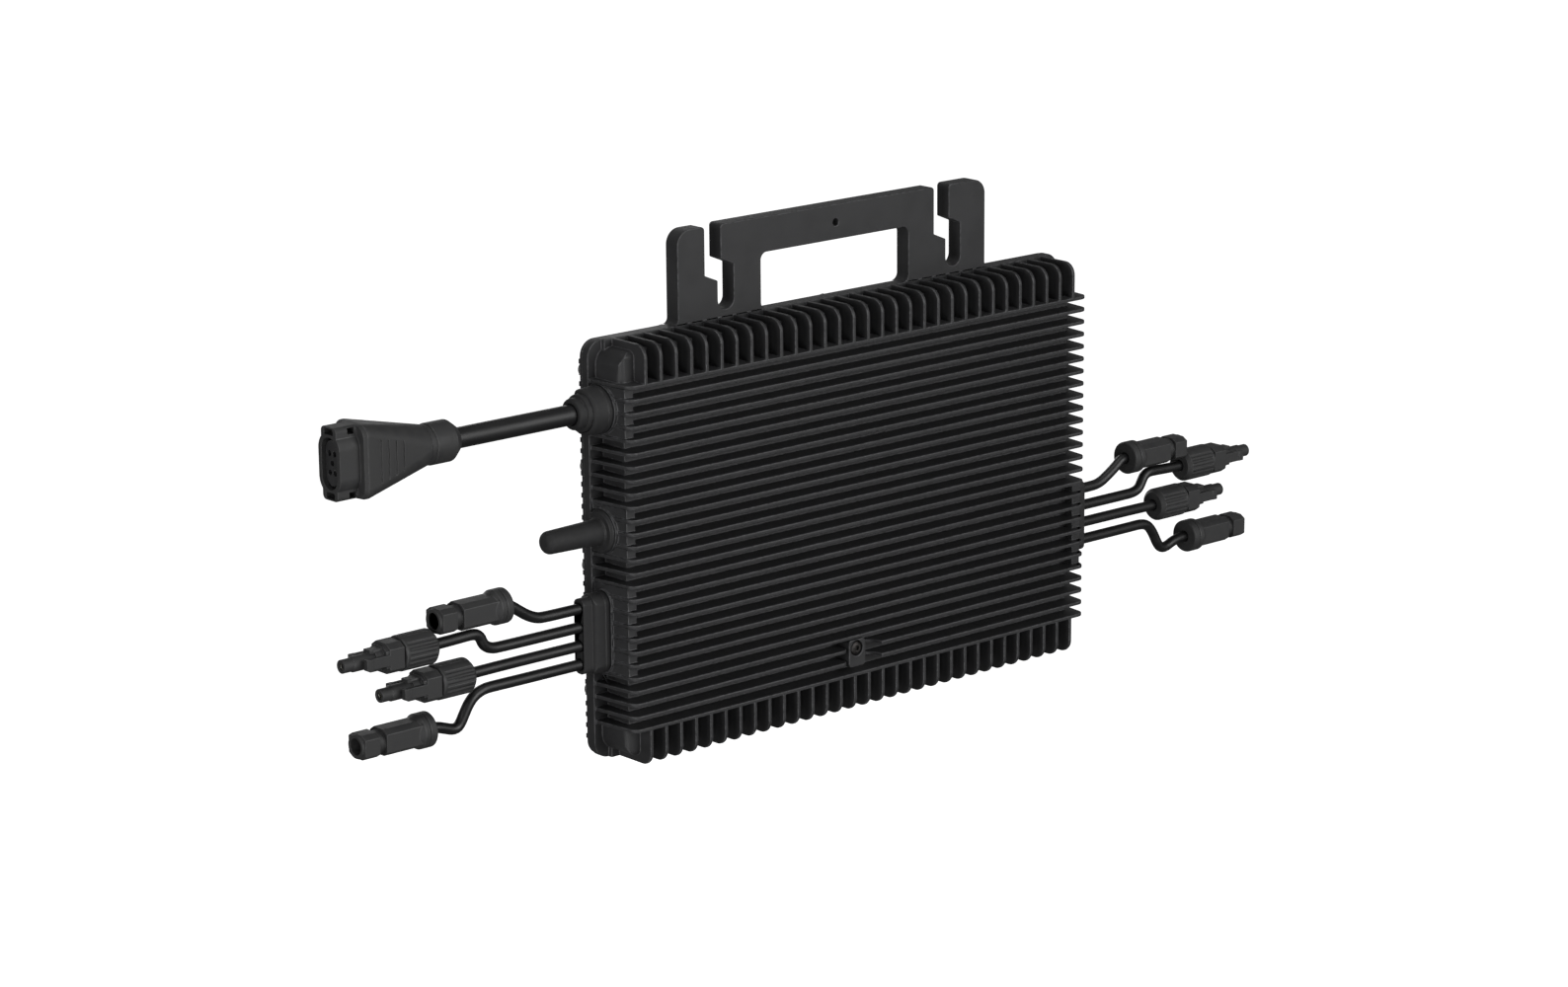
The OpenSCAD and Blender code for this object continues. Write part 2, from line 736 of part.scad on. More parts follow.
module finned_housing() {
    out_x = housing_w / 2 + through;
    color(cast_black) hung() difference() {
        union() {
            difference() {
                fins_on_core();
                ground_pocket();
                intersection() {
                    union() {
                        left_pads(pad_x, out_x, pad_margin);
                        dc_pads(pad_x, out_x, pad_margin);
                    }
                    before(flange_front_y);
                }
            }
            intersection() {
                union() {
                    left_pads(band_half_w - through, pad_x, pad_margin);
                    dc_pads(band_half_w - through, pad_x, pad_margin);
                }
                before(flange_front_y + through);
            }
            ground_pad();
        }
        difference() {
            slab_y(inside_front_y, cover_front_y + through)
                round_rect(2 * inside_half_w, 2 * inside_half_h, core_r - side_wall);
            board_posts();
        }
        side_holes();
        ground_hole();
        screw_holes();
        slab_y(cover_front_y - gasket_h, cover_front_y + through) gasket_ring(gasket_w + 2 * fit);
    }
}

module rear_cover() {
    cover_w = housing_w - 2 * cover_inset;
    cover_h = housing_h - 2 * cover_inset;
    rib_count = floor((cover_h - 2 * flange_r) / rib_pitch / 2);
    color(plate_black) hung() difference() {
        union() {
            slab_y(cover_front_y, housing_d) round_rect(cover_w, cover_h, flange_r - cover_inset);
            for (side = [-1, 1], i = [-rib_count : rib_count])
                translate([side * (cover_w - rib_l) / 2, 0, i * rib_pitch])
                    slab_y(housing_d - 0.5, housing_d + rib_h) square([rib_l, rib_w], center = true);
        }
        for (p = screw_places) translate([p[0], 0, p[1]]) {
            bar_y(cover_front_y - through, housing_d + through, cover_screw_d + 2 * fit);
            bar_y(housing_d, housing_d + rib_h + through, cover_head_d + 1.2);
        }
    }
}

module cover_gasket() {
    color(rubber_black) hung() slab_y(cover_front_y - gasket_h, cover_front_y) gasket_ring(gasket_w);
}

// A pan-head screw along Y, its head's seat at y = 0 and its shank towards -Y
module pan_screw(shank_d, shank_l, head_d, head_h) {
    drive_d = head_d * 0.42;
    dome = head_h * 0.35;
    difference() {
        union() {
            bar_y(-shank_l, 0, shank_d);
            bar_y(0, head_h - dome, head_d);
            translate([0, head_h - dome, 0]) rotate([-90, 0, 0])
                cylinder(h = dome, d1 = head_d, d2 = head_d * 0.62);
        }
        translate([0, head_h, 0]) rotate([90, 0, 0]) cylinder(h = head_h * 0.6, d = drive_d, $fn = 6);
    }
}

module cover_screws() {
    color(steel) hung() for (p = screw_places) translate([p[0], housing_d, p[1]])
        pan_screw(cover_screw_d, cover_screw_l, cover_head_d, cover_head_h);
}

module ground_screw() {
    color(steel) hung() translate([ground_x, ground_recess_y - washer_t, ground_z]) mirror([0, 1, 0])
        pan_screw(ground_screw_d, ground_screw_l, ground_head_d, ground_head_h);
}

module ground_washer() {
    color(tinned) hung() translate([ground_x, 0, ground_z]) difference() {
        bar_y(ground_recess_y - washer_t, ground_recess_y, washer_d);
        bar_y(ground_recess_y - washer_t - through, ground_recess_y + through, ground_screw_d + 2 * fit);
    }
}

// Points of a rounded outer edge of radius c at the front of a turned shape, [x, radius]
function round_edge(x, r, c) = [for (a = [0 : 18 : 90]) [x - c + c * sin(a), r - c + c * cos(a)]];

// Points of a hollow of radius c between a turned face at x and the barrel of radius r before it
function hollow(x, r, c) = [for (a = [0 : 30 : 90]) [x + c - c * cos(a), r + c - c * sin(a)]];

// Room behind a gland's foot, where the flange passes it
module flange_room(x0, x1) {
    slab_x(x0, x1) translate([foot_flat_y, -housing_h / 2]) square([housing_d, housing_h]);
}

module ac_gland() {
    foot_r = ac_foot_d / 2;
    plate_x = gland_x + foot_plate_t;
    step_x = ac_foot_x + ac_step_l;
    mouth_x = step_x + ac_mouth_l;
    spigot_r = ac_spigot_d / 2;
    entry_r = ac_cable_d / 2 + entry_clearance;
    color(moulded_black) hung() mirror([1, 0, 0]) difference() {
        translate([0, lead_y, ac_z]) turned_x(concat(
            [[spigot_x + through, 0], [spigot_x + through, spigot_r], [gland_x, spigot_r],
                [gland_x, foot_r], [plate_x, foot_r], [plate_x, foot_r - 0.3]],
            round_edge(ac_foot_x, foot_r - 0.6, 2),
            [[ac_foot_x, ac_step_d / 2]], round_edge(step_x, ac_step_d / 2, 1),
            hollow(step_x, ac_mouth_d / 2, 0.5), round_edge(mouth_x, ac_mouth_d / 2, 1.2),
            [[mouth_x, entry_r], [mouth_x - entry_l, entry_r], [mouth_x - entry_l, 0]]));
        flange_room(gland_x - through, ac_foot_x);
    }
}

module ac_gland_seal() {
    color(rubber_black) hung() mirror([1, 0, 0]) difference() {
        translate([0, lead_y, ac_z]) bar_x(pad_x, gland_x, ac_foot_d - 1);
        translate([0, lead_y, ac_z]) bar_x(pad_x - through, gland_x + through, ac_spigot_d + 2 * fit);
        flange_room(pad_x - through, gland_x + through);
    }
}

// A block along X whose section is a round rectangle, with the edges of its front at x1 rounded
module eased_block(x0, x1, w, h, r, ease) {
    intersection() {
        slab_x(x0, x1) round_rect(w, h, r);
        slab_z(-h / 2, h / 2) translate([x1, 0]) mirror([1, 0]) front_rounded(x1 - x0, w, ease);
        slab_y(-w / 2, w / 2) translate([x1, 0]) mirror([1, 0]) front_rounded(x1 - x0, h, ease);
    }
}

// A DC gland on the right wall: spigot, foot plate, foot and mouth with four cable entries
module dc_gland() {
    plate_x = gland_x + foot_plate_t;
    mouth_x = dc_foot_x + dc_step_l;
    body_w = dc_foot_w - 0.8;
    difference() {
        union() {
            difference() {
                union() {
                    slab_x(gland_x, plate_x) dc_foot_outline(0);
                    translate([0, lead_y, dc_z])
                        eased_block(gland_x, dc_foot_x, body_w, dc_foot_h - 0.8, body_w / 2 - 0.2, 2.2);
                }
                flange_room(gland_x - through, dc_foot_x + through);
            }
            translate([0, lead_y, dc_z]) {
                slab_x(spigot_x + through, gland_x + through)
                    round_rect(dc_spigot_w, dc_spigot_h(), dc_spigot_w / 2 - 0.2);
                eased_block(dc_foot_x - through, mouth_x, dc_step_w, dc_step_h, dc_step_w / 2 - 0.2, 0.8);
            }
        }
        for (i = [0 : 3]) translate([0, lead_y, dc_lead_z(i)])
            bar_x(mouth_x - entry_l, mouth_x + through, dc_cable_d + 2 * entry_clearance);
    }
}

module dc_gland_right() {
    color(moulded_black) hung() dc_gland();
}

module dc_gland_left() {
    color(moulded_black) hung() mirror([1, 0, 0]) dc_gland();
}

module dc_gland_seal() {
    difference() {
        slab_x(pad_x, gland_x) dc_foot_outline(-1);
        slab_x(pad_x - through, gland_x + through) translate([lead_y, dc_z])
            round_rect(dc_spigot_w + 2 * fit, dc_spigot_h() + 2 * fit, dc_spigot_w / 2);
        flange_room(pad_x - through, gland_x + through);
    }
}

module dc_gland_seal_right() {
    color(rubber_black) hung() dc_gland_seal();
}

module dc_gland_seal_left() {
    color(rubber_black) hung() mirror([1, 0, 0]) dc_gland_seal();
}

module antenna_cover() {
    tip_x = housing_w / 2 + antenna_l;
    foot_r = antenna_foot_d / 2;
    root_r = antenna_root_d / 2;
    tip_r = antenna_tip_d / 2;
    color(moulded_black) hung() mirror([1, 0, 0]) difference() {
        translate([0, lead_y, antenna_z]) turned_x(concat(
            [[pad_x, 0], [pad_x, foot_r], [antenna_foot_x - 1.2, foot_r],
                [antenna_foot_x, foot_r - 1.2]],
            hollow(antenna_foot_x, root_r, 1.5), round_edge(tip_x, tip_r, 3.6), [[tip_x, 0]]));
        translate([0, lead_y, antenna_z]) bar_x(pad_x - through, antenna_bore_end_x(), antenna_bore_d());
        flange_room(pad_x - through, antenna_foot_x);
    }
}

function antenna_bore_end_x() = housing_w / 2 + antenna_l - 3 - antenna_wall;
function antenna_bore_d() = antenna_tip_d - 2 * antenna_wall - 1;

module antenna_rod() {
    color(copper) hung() translate([0, lead_y, antenna_z]) mirror([1, 0, 0])
        bar_x(spigot_x - 8, antenna_bore_end_x(), antenna_rod_d);
}

// Unit vector of v
function unit(v) = v / norm(v);

// Direction of a route at point i, level at both ends
function heading(route, i) =
    i == 0 || i == len(route) - 1
        ? [route[len(route) - 1][0] > route[0][0] ? 1 : -1, 0]
        : unit(unit(route[i + 1] - route[i]) + unit(route[i] - route[i - 1]));

// A cable swept along a route of [x, z] points at the depth of the gland axes
module cable(route, d, sides) {
    rings = len(route);
    points = [for (i = [0 : rings - 1], k = [0 : sides - 1])
        let (t = heading(route, i), a = -360 * k / sides, u = d / 2 * cos(a), v = d / 2 * sin(a))
        [route[i][0] - t[1] * u, lead_y + v, route[i][1] + t[0] * u]];
    start = [[for (k = [0 : sides - 1]) k]];
    finish = [[for (k = [sides - 1 : -1 : 0]) (rings - 1) * sides + k]];
    wall = [for (i = [0 : rings - 2], k = [0 : sides - 1])
        let (n = (k + 1) % sides)
        each [[i * sides + k, (i + 1) * sides + k, (i + 1) * sides + n],
            [i * sides + k, (i + 1) * sides + n, i * sides + n]]];
    polyhedron(points, concat(start, wall, finish), convexity = 6);
}

module ac_cable() {
    color(rubber_black) hung() cable(ac_route, ac_cable_d, 12);
}

module dc_cable_left(i) {
    color(rubber_black) hung() cable(left_routes[i], dc_cable_d, 10);
}

module dc_cable_right(i) {
    color(rubber_black) hung() cable(right_routes[i], dc_cable_d, 10);
}

// Puts a connector, drawn along +X from its rear, on the end of a cable
module on_lead(route, entry) {
    end = route[len(route) - 1];
    side = end[0] < 0 ? 1 : 0;
    translate([end[0], lead_y, end[1]]) mirror([side, 0, 0]) translate([-entry, 0, 0]) children();
}

module ac_connector_nut() {
    r = ac_nut_d / 2;
    entry_r = ac_cable_d / 2 + entry_clearance;
    color(moulded_black) hung() on_lead(ac_route, ac_entry_l) turned_x([
        [0, entry_r], [0, r - 3.4], [4.5, r], [ac_nut_l - 0.6, r], [ac_nut_l, r - 0.6],
        [ac_nut_l, 0], [ac_entry_l, 0], [ac_entry_l, entry_r]]);
}

// Upright oval, as [y, z]
module oval(w, h) {
    square([w, h - w], center = true);
    for (s = [-1, 1]) translate([0, s * (h - w) / 2]) circle(d = w);
}

module ac_connector_body() {
    taper_x = ac_nut_l + 3;
    shoulder_x = ac_nut_l + ac_body_l;
    front_x = shoulder_x + ac_front_l;
    recess_x = front_x - ac_recess_l - ac_insert_l;
    recess_w = ac_oval_w - 2 * ac_mouth_wall;
    recess_h = ac_oval_h - 2 * ac_mouth_wall;
    color(moulded_black) hung() on_lead(ac_route, ac_entry_l) difference() {
        union() {
            bar_x(ac_nut_l, taper_x + 1, ac_nut_d - 0.8);
            hull() {
                translate([taper_x, 0, 0]) rotate([0, 90, 0]) cylinder(h = 1, d = ac_nut_d, $fn = 32);
                slab_x(shoulder_x - 3.5, shoulder_x - 1.5) round_rect(ac_body_w, ac_body_h, 6, $fn = 32);
                slab_x(shoulder_x - 1, shoulder_x) round_rect(ac_body_w - 3, ac_body_h - 1, 6, $fn = 32);
            }
            slab_x(shoulder_x - 1, front_x) oval(ac_oval_w, ac_oval_h);
            slab_x(shoulder_x - 1, front_x) round_rect(ac_latch_w, ac_body_h - 0.6, 2.5);
        }
        slab_x(recess_x, front_x + through) oval(recess_w, recess_h);
        ac_latch_windows(shoulder_x, front_x);
        ac_grip_grooves();
    }
}

// Latch windows at the top and the bottom of the AC connector's front
module ac_latch_windows(shoulder_x, front_x) {
    window_w = 7;
    window_h = 3;
    window_z = ac_body_h / 2 - 2.7;
    for (s = [-1, 1]) translate([0, 0, s * window_z]) {
        slab_x(front_x - 5, front_x + through) square([window_w, window_h], center = true);
        slab_x(shoulder_x + 1, shoulder_x + 5) square([ac_latch_w + 2, window_h], center = true);
    }
}

// Four upright grip grooves on each flank of the AC connector
module ac_grip_grooves() {
    groove_w = 1;
    groove_depth = 0.7;
    for (i = [0 : 3], s = [-1, 1]) {
        x = ac_nut_l + 21 + i * 4.7;
        flank = ac_flank_y(x);
        translate([x, s * flank, 0]) slab_x(0, groove_w)
            square([2 * groove_depth, 15 + i * 2], center = true);
    }
}

// Half depth of the tapered AC body at the distance x from its rear
function ac_flank_y(x) =
    let (x0 = ac_nut_l + 4, x1 = ac_nut_l + ac_body_l - 5)
    (ac_nut_d + (ac_body_w - ac_nut_d) * (x - x0) / (x1 - x0)) / 2;

function ac_contact_places() = [[0, 0], for (a = [45 : 90 : 315]) [3.6 * cos(a), 7.6 * sin(a)]];

module ac_connector_insert() {
    front_x = ac_nut_l + ac_body_l + ac_front_l - ac_recess_l;
    w = ac_oval_w - 2 * ac_mouth_wall - 2 * fit;
    h = ac_oval_h - 2 * ac_mouth_wall - 2 * fit;
    color(plate_black) hung() on_lead(ac_route, ac_entry_l) difference() {
        slab_x(front_x - ac_insert_l, front_x) oval(w, h);
        for (p = ac_contact_places()) translate([0, p[0], p[1]])
            bar_x(front_x - ac_insert_l + 3, front_x + through, ac_contact_d + 2 * fit);
    }
}

module ac_connector_contacts() {
    front_x = ac_nut_l + ac_body_l + ac_front_l - ac_recess_l;
    back_x = front_x - ac_insert_l + 3;
    color(tinned) hung() on_lead(ac_route, ac_entry_l) for (p = ac_contact_places())
        translate([0, p[0], p[1]]) difference() {
            bar_x(back_x, front_x - 1, ac_contact_d);
            bar_x(back_x + 4, front_x, ac_contact_bore);
        }
}

// Eight-sided section of a socket's body, as [y, z], with flat flanks and a narrow top
module flanked_section(w, h) {
    flank = h * 0.34;
    top = w * 0.27;
    polygon([[w / 2, flank], [top, h / 2], [-top, h / 2], [-w / 2, flank],
        [-w / 2, -flank], [-top, -h / 2], [top, -h / 2], [w / 2, -flank]]);
}

module cap_shape() {
    r = dc_round_d / 2;
    entry_r = dc_cable_d / 2 + entry_clearance;
    turned_x(concat([[0, entry_r]], [for (a = [0 : 30 : 90]) [1 - cos(a), r - 1 + sin(a)]],
        [[socket_cap_l - 0.3, r], [socket_cap_l, r - 0.3], [socket_cap_l, 0],
            [entry_l, 0], [entry_l, entry_r]]));
}

module socket_shape() {
    r = dc_round_d / 2;
    collar_x = socket_cap_l + collar_l;
    cone_x = collar_x + collar_cone_l;
    front_x = socket_l - socket_front_l;
    neck_x = front_x - socket_neck_l;
    bore_d = plug_stem_d + 2 * seat_gap;
    difference() {
        union() {
            turned_x([[socket_cap_l, 0], [socket_cap_l, r - 0.3], [socket_cap_l + 0.3, r],
                [collar_x, r], [cone_x, socket_w / 2], [cone_x, 0]]);
            bar_x(collar_x, socket_l, socket_neck_d);
            slab_x(collar_x, neck_x) flanked_section(socket_w, socket_h);
            slab_x(front_x, socket_l - 1) flanked_section(socket_w, socket_h - 1);
            bar_x(front_x, socket_l, socket_h - 1.4);
        }
        bar_x(socket_l - socket_bore_l, socket_l + through, bore_d);
    }
}

module plug_nut_shape() {
    r = dc_round_d / 2;
    entry_r = dc_cable_d / 2 + entry_clearance;
    flutes = 18;
    difference() {
        turned_x([[0, entry_r], [0, r - 2], [2, r], [plug_nut_l - 0.5, r], [plug_nut_l, r - 0.5],
            [plug_nut_l, 0], [plug_entry_l, 0], [plug_entry_l, entry_r]]);
        for (i = [0 : flutes - 1]) rotate([360 * i / flutes, 0, 0])
            translate([0, r + 0.3, 0]) bar_x(2, plug_nut_l - 2, 1.6);
    }
}

module plug_shape() {
    body_x = plug_nut_l + plug_body_l;
    collar_x = body_x + plug_collar_l;
    tip_x = plug_l - plug_tip_l;
    arm_y = plug_body_w / 2 - plug_arm_t / 2;
    shoulder_low = plug_stem_d / 2 - 0.5;
    shoulder_high = plug_body_w / 2 - 2.2;
    difference() {
        union() {
            bar_x(plug_nut_l, plug_nut_l + plug_seam + 1, plug_body_w - 2);
            slab_x(plug_nut_l + plug_seam, body_x - 1.5) flanked_section(plug_body_w, plug_body_w);
            slab_x(body_x - 1.5, body_x) flanked_section(plug_body_w - 2, plug_body_w - 3);
            bar_x(body_x - 1, collar_x, plug_collar_d);
            bar_x(body_x - 1, tip_x, plug_stem_d);
            bar_x(tip_x - 1, plug_l, plug_tip_d);
            for (s = [-1, 1]) translate([0, s * arm_y, 0]) latch_arm(body_x - 1.5);
            for (s = [-1, 1]) slab_x(body_x - 1, body_x + plug_shoulder_l)
                translate([0, s * (shoulder_low + shoulder_high) / 2])
                    square([plug_arm_w, shoulder_high - shoulder_low], center = true);
        }
        bar_x(body_x, plug_l + through, sleeve_outer_d() + 2 * fit);
    }
}

function sleeve_outer_d() = dc_pin_d + 2 * fit + 2 * dc_sleeve_wall;

// One latch arm of a plug, with a hook at its end
module latch_arm(x) {
    slab_x(x, x + plug_arm_l) square([plug_arm_t, plug_arm_w], center = true);
    slab_x(x + plug_arm_l - 3.5, x + plug_arm_l) square([plug_arm_t + 0.8, plug_arm_w], center = true);
}

// A contact pin in a socket, its foot in the bottom of the bore
module pin_shape() {
    foot_x = socket_l - socket_bore_l;
    bar_x(foot_x, foot_x + 3, plug_stem_d - 1);
    bar_x(foot_x + 2, socket_l - 6, dc_pin_d);
}

// A contact sleeve in a plug's stem
module sleeve_shape() {
    back_x = plug_nut_l + plug_body_l;
    difference() {
        bar_x(back_x, plug_l - 1, sleeve_outer_d());
        bar_x(back_x + 3, plug_l, dc_pin_d + 2 * fit);
    }
}

module dc_socket(route) {
    color(moulded_black) hung() on_lead(route, entry_l) socket_shape();
}

module dc_plug(route) {
    color(moulded_black) hung() on_lead(route, plug_entry_l) plug_shape();
}

module socket_cap(route) {
    color(moulded_black) hung() on_lead(route, entry_l) cap_shape();
}

module plug_nut(route) {
    color(moulded_black) hung() on_lead(route, plug_entry_l) plug_nut_shape();
}

module socket_pins() {
    color(tinned) hung() for (route = [left_route_1, left_route_4, right_route_1, right_route_4])
        on_lead(route, entry_l) pin_shape();
}

module plug_sleeves() {
    color(tinned) hung() for (route = [left_route_2, left_route_3, right_route_2, right_route_3])
        on_lead(route, plug_entry_l) sleeve_shape();
}

// X of a transformer's middle, from the left
function transformer_x(i) = (i - 1.5) * transformer_pitch;

module main_board() {
    color(board_green) hung() slab_y(board_front_y, board_back_y) difference() {
        round_rect(board_w, board_h, 5);
        for (p = post_places) translate(p) circle(d = board_hole_d);
    }
}

module board_screws() {
    color(steel) hung() for (p = post_places) translate([p[0], board_back_y, p[1]])
        pan_screw(board_screw_d, board_t + board_screw_bite, board_screw_d * 1.9, board_head_h);
}

// Width of each of a core's three legs: the middle one is twice as wide as the outer ones
function leg_w() = core_w / 7;

module transformer_core() {
    window = (core_w - 4 * leg_w()) / 2;
    difference() {
        slab_y(0, core_d) square([core_w, core_h], center = true);
        for (s = [-1, 1]) translate([s * (leg_w() + window / 2), core_d / 2, 0])
            cube([window, winding_d, core_h + 2 * through], center = true);
    }
}

module transformer_cores() {
    color(ferrite) hung() for (i = [0 : 3])
        translate([transformer_x(i), core_front_y, transformer_z]) transformer_core();
}

module transformer_winding(i) {
    window = (core_w - 4 * leg_w()) / 2;
    inner_w = 2 * leg_w() + 2 * seat_gap;
    inner_h = core_h + 2 * seat_gap;
    ring = window - 2 * seat_gap;
    y0 = core_front_y + (core_d - winding_d) / 2;
    color(copper) hung() translate([transformer_x(i), 0, transformer_z])
        slab_y(y0, y0 + winding_d) difference() {
            round_rect(inner_w + 2 * ring, inner_h + 2 * ring, 4);
            square([inner_w, inner_h], center = true);
        }
}

module thermal_pads() {
    color(white_pad) hung() for (i = [0 : 3]) translate([transformer_x(i), 0, transformer_z])
        slab_y(inside_front_y, core_front_y) square([core_w - 2, core_h - 2], center = true);
}

module input_capacitors() {
    can_x = capacitor_can_d / 2 + 7.75;
    color(can_silver) hung() for (i = [0 : 3], side = [-1, 1])
        translate([transformer_x(i) + side * can_x, board_front_y - capacitor_can_d / 2, capacitor_z])
            capacitor_can(capacitor_can_d, capacitor_can_l);
}

// A capacitor can that lies along Z, with a bead near its upper end
module capacitor_can(d, l) {
    rotate_extrude() polygon([[0, -l / 2], [d / 2 - 0.6, -l / 2], [d / 2, 0.6 - l / 2],
        [d / 2, l / 2 - 3.6], [d / 2 - 0.6, l / 2 - 3], [d / 2, l / 2 - 2.4], [d / 2, l / 2], [0, l / 2]]);
}

// A block on the front of the board, size [x, y, z], at the place [x, z]
module on_board(place, size, r) {
    translate([place[0], 0, place[1]]) slab_y(board_front_y - size[1], board_front_y)
        round_rect(size[0], size[2], r);
}

module film_capacitor() {
    color(film_blue) hung() on_board([film_x, output_row_z], film_size, 1);
}

module output_choke() {
    color(copper) hung() translate([choke_x, board_front_y - choke_h / 2, output_row_z])
        rotate([90, 0, 0]) rotate_extrude() translate([choke_inner_r, -choke_h / 2])
            square([choke_outer_r - choke_inner_r, choke_h]);
}

module grid_relay() {
    color(plate_black) hung() on_board([relay_x, output_row_z], relay_size, 1);
}

module power_transistors() {
    color(plate_black) hung() for (i = [0 : 3], side = [-1, 1], row = [0, 1])
        on_board([transformer_x(i) + side * 12, transistor_z - row * transistor_row_pitch],
            transistor_size, 0.4);
}

module radio_module() {
    color(can_silver) hung() on_board([radio_inset - board_w / 2, antenna_z], radio_size, 0.8);
}

finned_housing();
rear_cover();
cover_gasket();
cover_screws();
ground_screw();
ground_washer();
ac_gland();
ac_gland_seal();
ac_cable();
ac_connector_nut();
ac_connector_body();
ac_connector_insert();
ac_connector_contacts();
antenna_cover();
antenna_rod();
dc_gland_left();
dc_gland_right();
dc_gland_seal_left();
dc_gland_seal_right();
dc_cable_left(0);  // dc_cable_left_1
dc_cable_left(1);  // dc_cable_left_2
dc_cable_left(2);  // dc_cable_left_3
dc_cable_left(3);  // dc_cable_left_4
dc_cable_right(0);  // dc_cable_right_1
dc_cable_right(1);  // dc_cable_right_2
dc_cable_right(2);  // dc_cable_right_3
dc_cable_right(3);  // dc_cable_right_4
dc_socket(left_route_1);  // dc_socket_left_1
dc_plug(left_route_2);  // dc_plug_left_2
dc_plug(left_route_3);  // dc_plug_left_3
dc_socket(left_route_4);  // dc_socket_left_4
dc_socket(right_route_1);  // dc_socket_right_1
dc_plug(right_route_2);  // dc_plug_right_2
dc_plug(right_route_3);  // dc_plug_right_3
dc_socket(right_route_4);  // dc_socket_right_4
socket_cap(left_route_1);  // socket_cap_left_1
plug_nut(left_route_2);  // plug_nut_left_2
plug_nut(left_route_3);  // plug_nut_left_3
socket_cap(left_route_4);  // socket_cap_left_4
socket_cap(right_route_1);  // socket_cap_right_1
plug_nut(right_route_2);  // plug_nut_right_2
plug_nut(right_route_3);  // plug_nut_right_3
socket_cap(right_route_4);  // socket_cap_right_4
socket_pins();
plug_sleeves();
main_board();
board_screws();
transformer_cores();
transformer_winding(0);  // transformer_winding_1
transformer_winding(1);  // transformer_winding_2
transformer_winding(2);  // transformer_winding_3
transformer_winding(3);  // transformer_winding_4
thermal_pads();
input_capacitors();
film_capacitor();
output_choke();
grid_relay();
power_transistors();
radio_module();
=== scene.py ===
"""Looks of a solar microinverter with four DC inputs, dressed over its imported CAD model.

Every length is in metres and every place is in the CAD model's own frame: X to the right seen from
the fins, Y from the fins to the rear, Z up, with the origin on the rear face of the hanging
bracket, on the axis of its small hole.
"""
import logging
import math
from dataclasses import dataclass, field, replace
from enum import Enum

import bmesh
import bpy
from mathutils import Matrix, Vector
from mathutils.bvhtree import BVHTree


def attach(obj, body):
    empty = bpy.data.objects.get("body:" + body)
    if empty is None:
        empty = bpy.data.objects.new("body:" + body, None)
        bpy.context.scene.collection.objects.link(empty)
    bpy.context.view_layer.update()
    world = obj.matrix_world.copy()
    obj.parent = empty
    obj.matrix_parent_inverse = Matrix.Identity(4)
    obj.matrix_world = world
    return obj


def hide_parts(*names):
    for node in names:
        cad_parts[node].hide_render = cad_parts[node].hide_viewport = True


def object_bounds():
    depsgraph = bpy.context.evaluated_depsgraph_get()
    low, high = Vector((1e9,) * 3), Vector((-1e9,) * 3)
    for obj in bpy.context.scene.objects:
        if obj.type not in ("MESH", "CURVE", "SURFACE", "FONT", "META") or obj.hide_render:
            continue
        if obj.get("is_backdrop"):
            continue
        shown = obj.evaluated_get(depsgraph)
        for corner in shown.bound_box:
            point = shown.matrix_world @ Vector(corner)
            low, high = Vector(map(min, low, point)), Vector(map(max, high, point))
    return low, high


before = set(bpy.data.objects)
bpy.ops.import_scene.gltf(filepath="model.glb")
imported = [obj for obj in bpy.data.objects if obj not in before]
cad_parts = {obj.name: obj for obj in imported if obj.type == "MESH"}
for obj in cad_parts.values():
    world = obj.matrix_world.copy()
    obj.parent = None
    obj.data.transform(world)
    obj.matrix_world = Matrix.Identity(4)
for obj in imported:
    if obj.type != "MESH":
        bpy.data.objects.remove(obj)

log = logging.getLogger("microinverter")

MM = 0.001
BODY = "root"

X_AXIS = Vector((1.0, 0.0, 0.0))
Z_AXIS = Vector((0.0, 0.0, 1.0))

# Corners of the CAD mesh that lie closer than this are one corner
WELD_GAP = 0.002 * MM
# Corners that lie closer to a cutting plane than this are on it
CUT_GAP = 1e-7
# Faces that turn from each other by less than this are one flat face
FLAT_ANGLE = math.radians(0.5)
# Edges that turn by more than this are eased
SHARP_ANGLE = math.radians(30)
# Facets across an eased edge
EASED_FACETS = 2
# The eased corner of a cube lies at most 0.42 of the edges' radius under its faces, so what lies
# further off the CAD surface than this share of the radius has strayed
STRAY_SHARE = 0.5
# Weight that gives a corner's normal wholly to its largest faces
FLAT_WEIGHT = 100
# Place of the edge material in a piece's list, and the number that keeps each face's own
RIM_SLOT = 1
OWN_SLOT = -1

# Share of each finer octave of a pattern
OCTAVE_SHARE = 0.55
# Values of a pattern between which the colour goes from its shade to its usual tone
TONE_SPAN = (0.35, 0.65)
# Values of a pattern between which the roughness goes from its lowest to its highest
ROUGHNESS_SPAN = (0.3, 0.7)
# Numbers of a Mix node's colour sockets: its other kinds bear the same names
MIX_LOW, MIX_HIGH, MIX_OUT = 6, 7, 2

# Numbers, from the top, of the cables on each side that end in a socket; the others end in a plug
SOCKET_NUMBERS = (1, 4)

# Depth of the plane that all the cables lie in
LEAD_Y = -12.8 * MM

# Lengths of the cables between gland and connector, from the top of each side
MAINS_LENGTH = 0.0778
LEFT_LENGTHS = (0.053, 0.101, 0.075, 0.107)
RIGHT_LENGTHS = (0.041, 0.088, 0.063, 0.095)

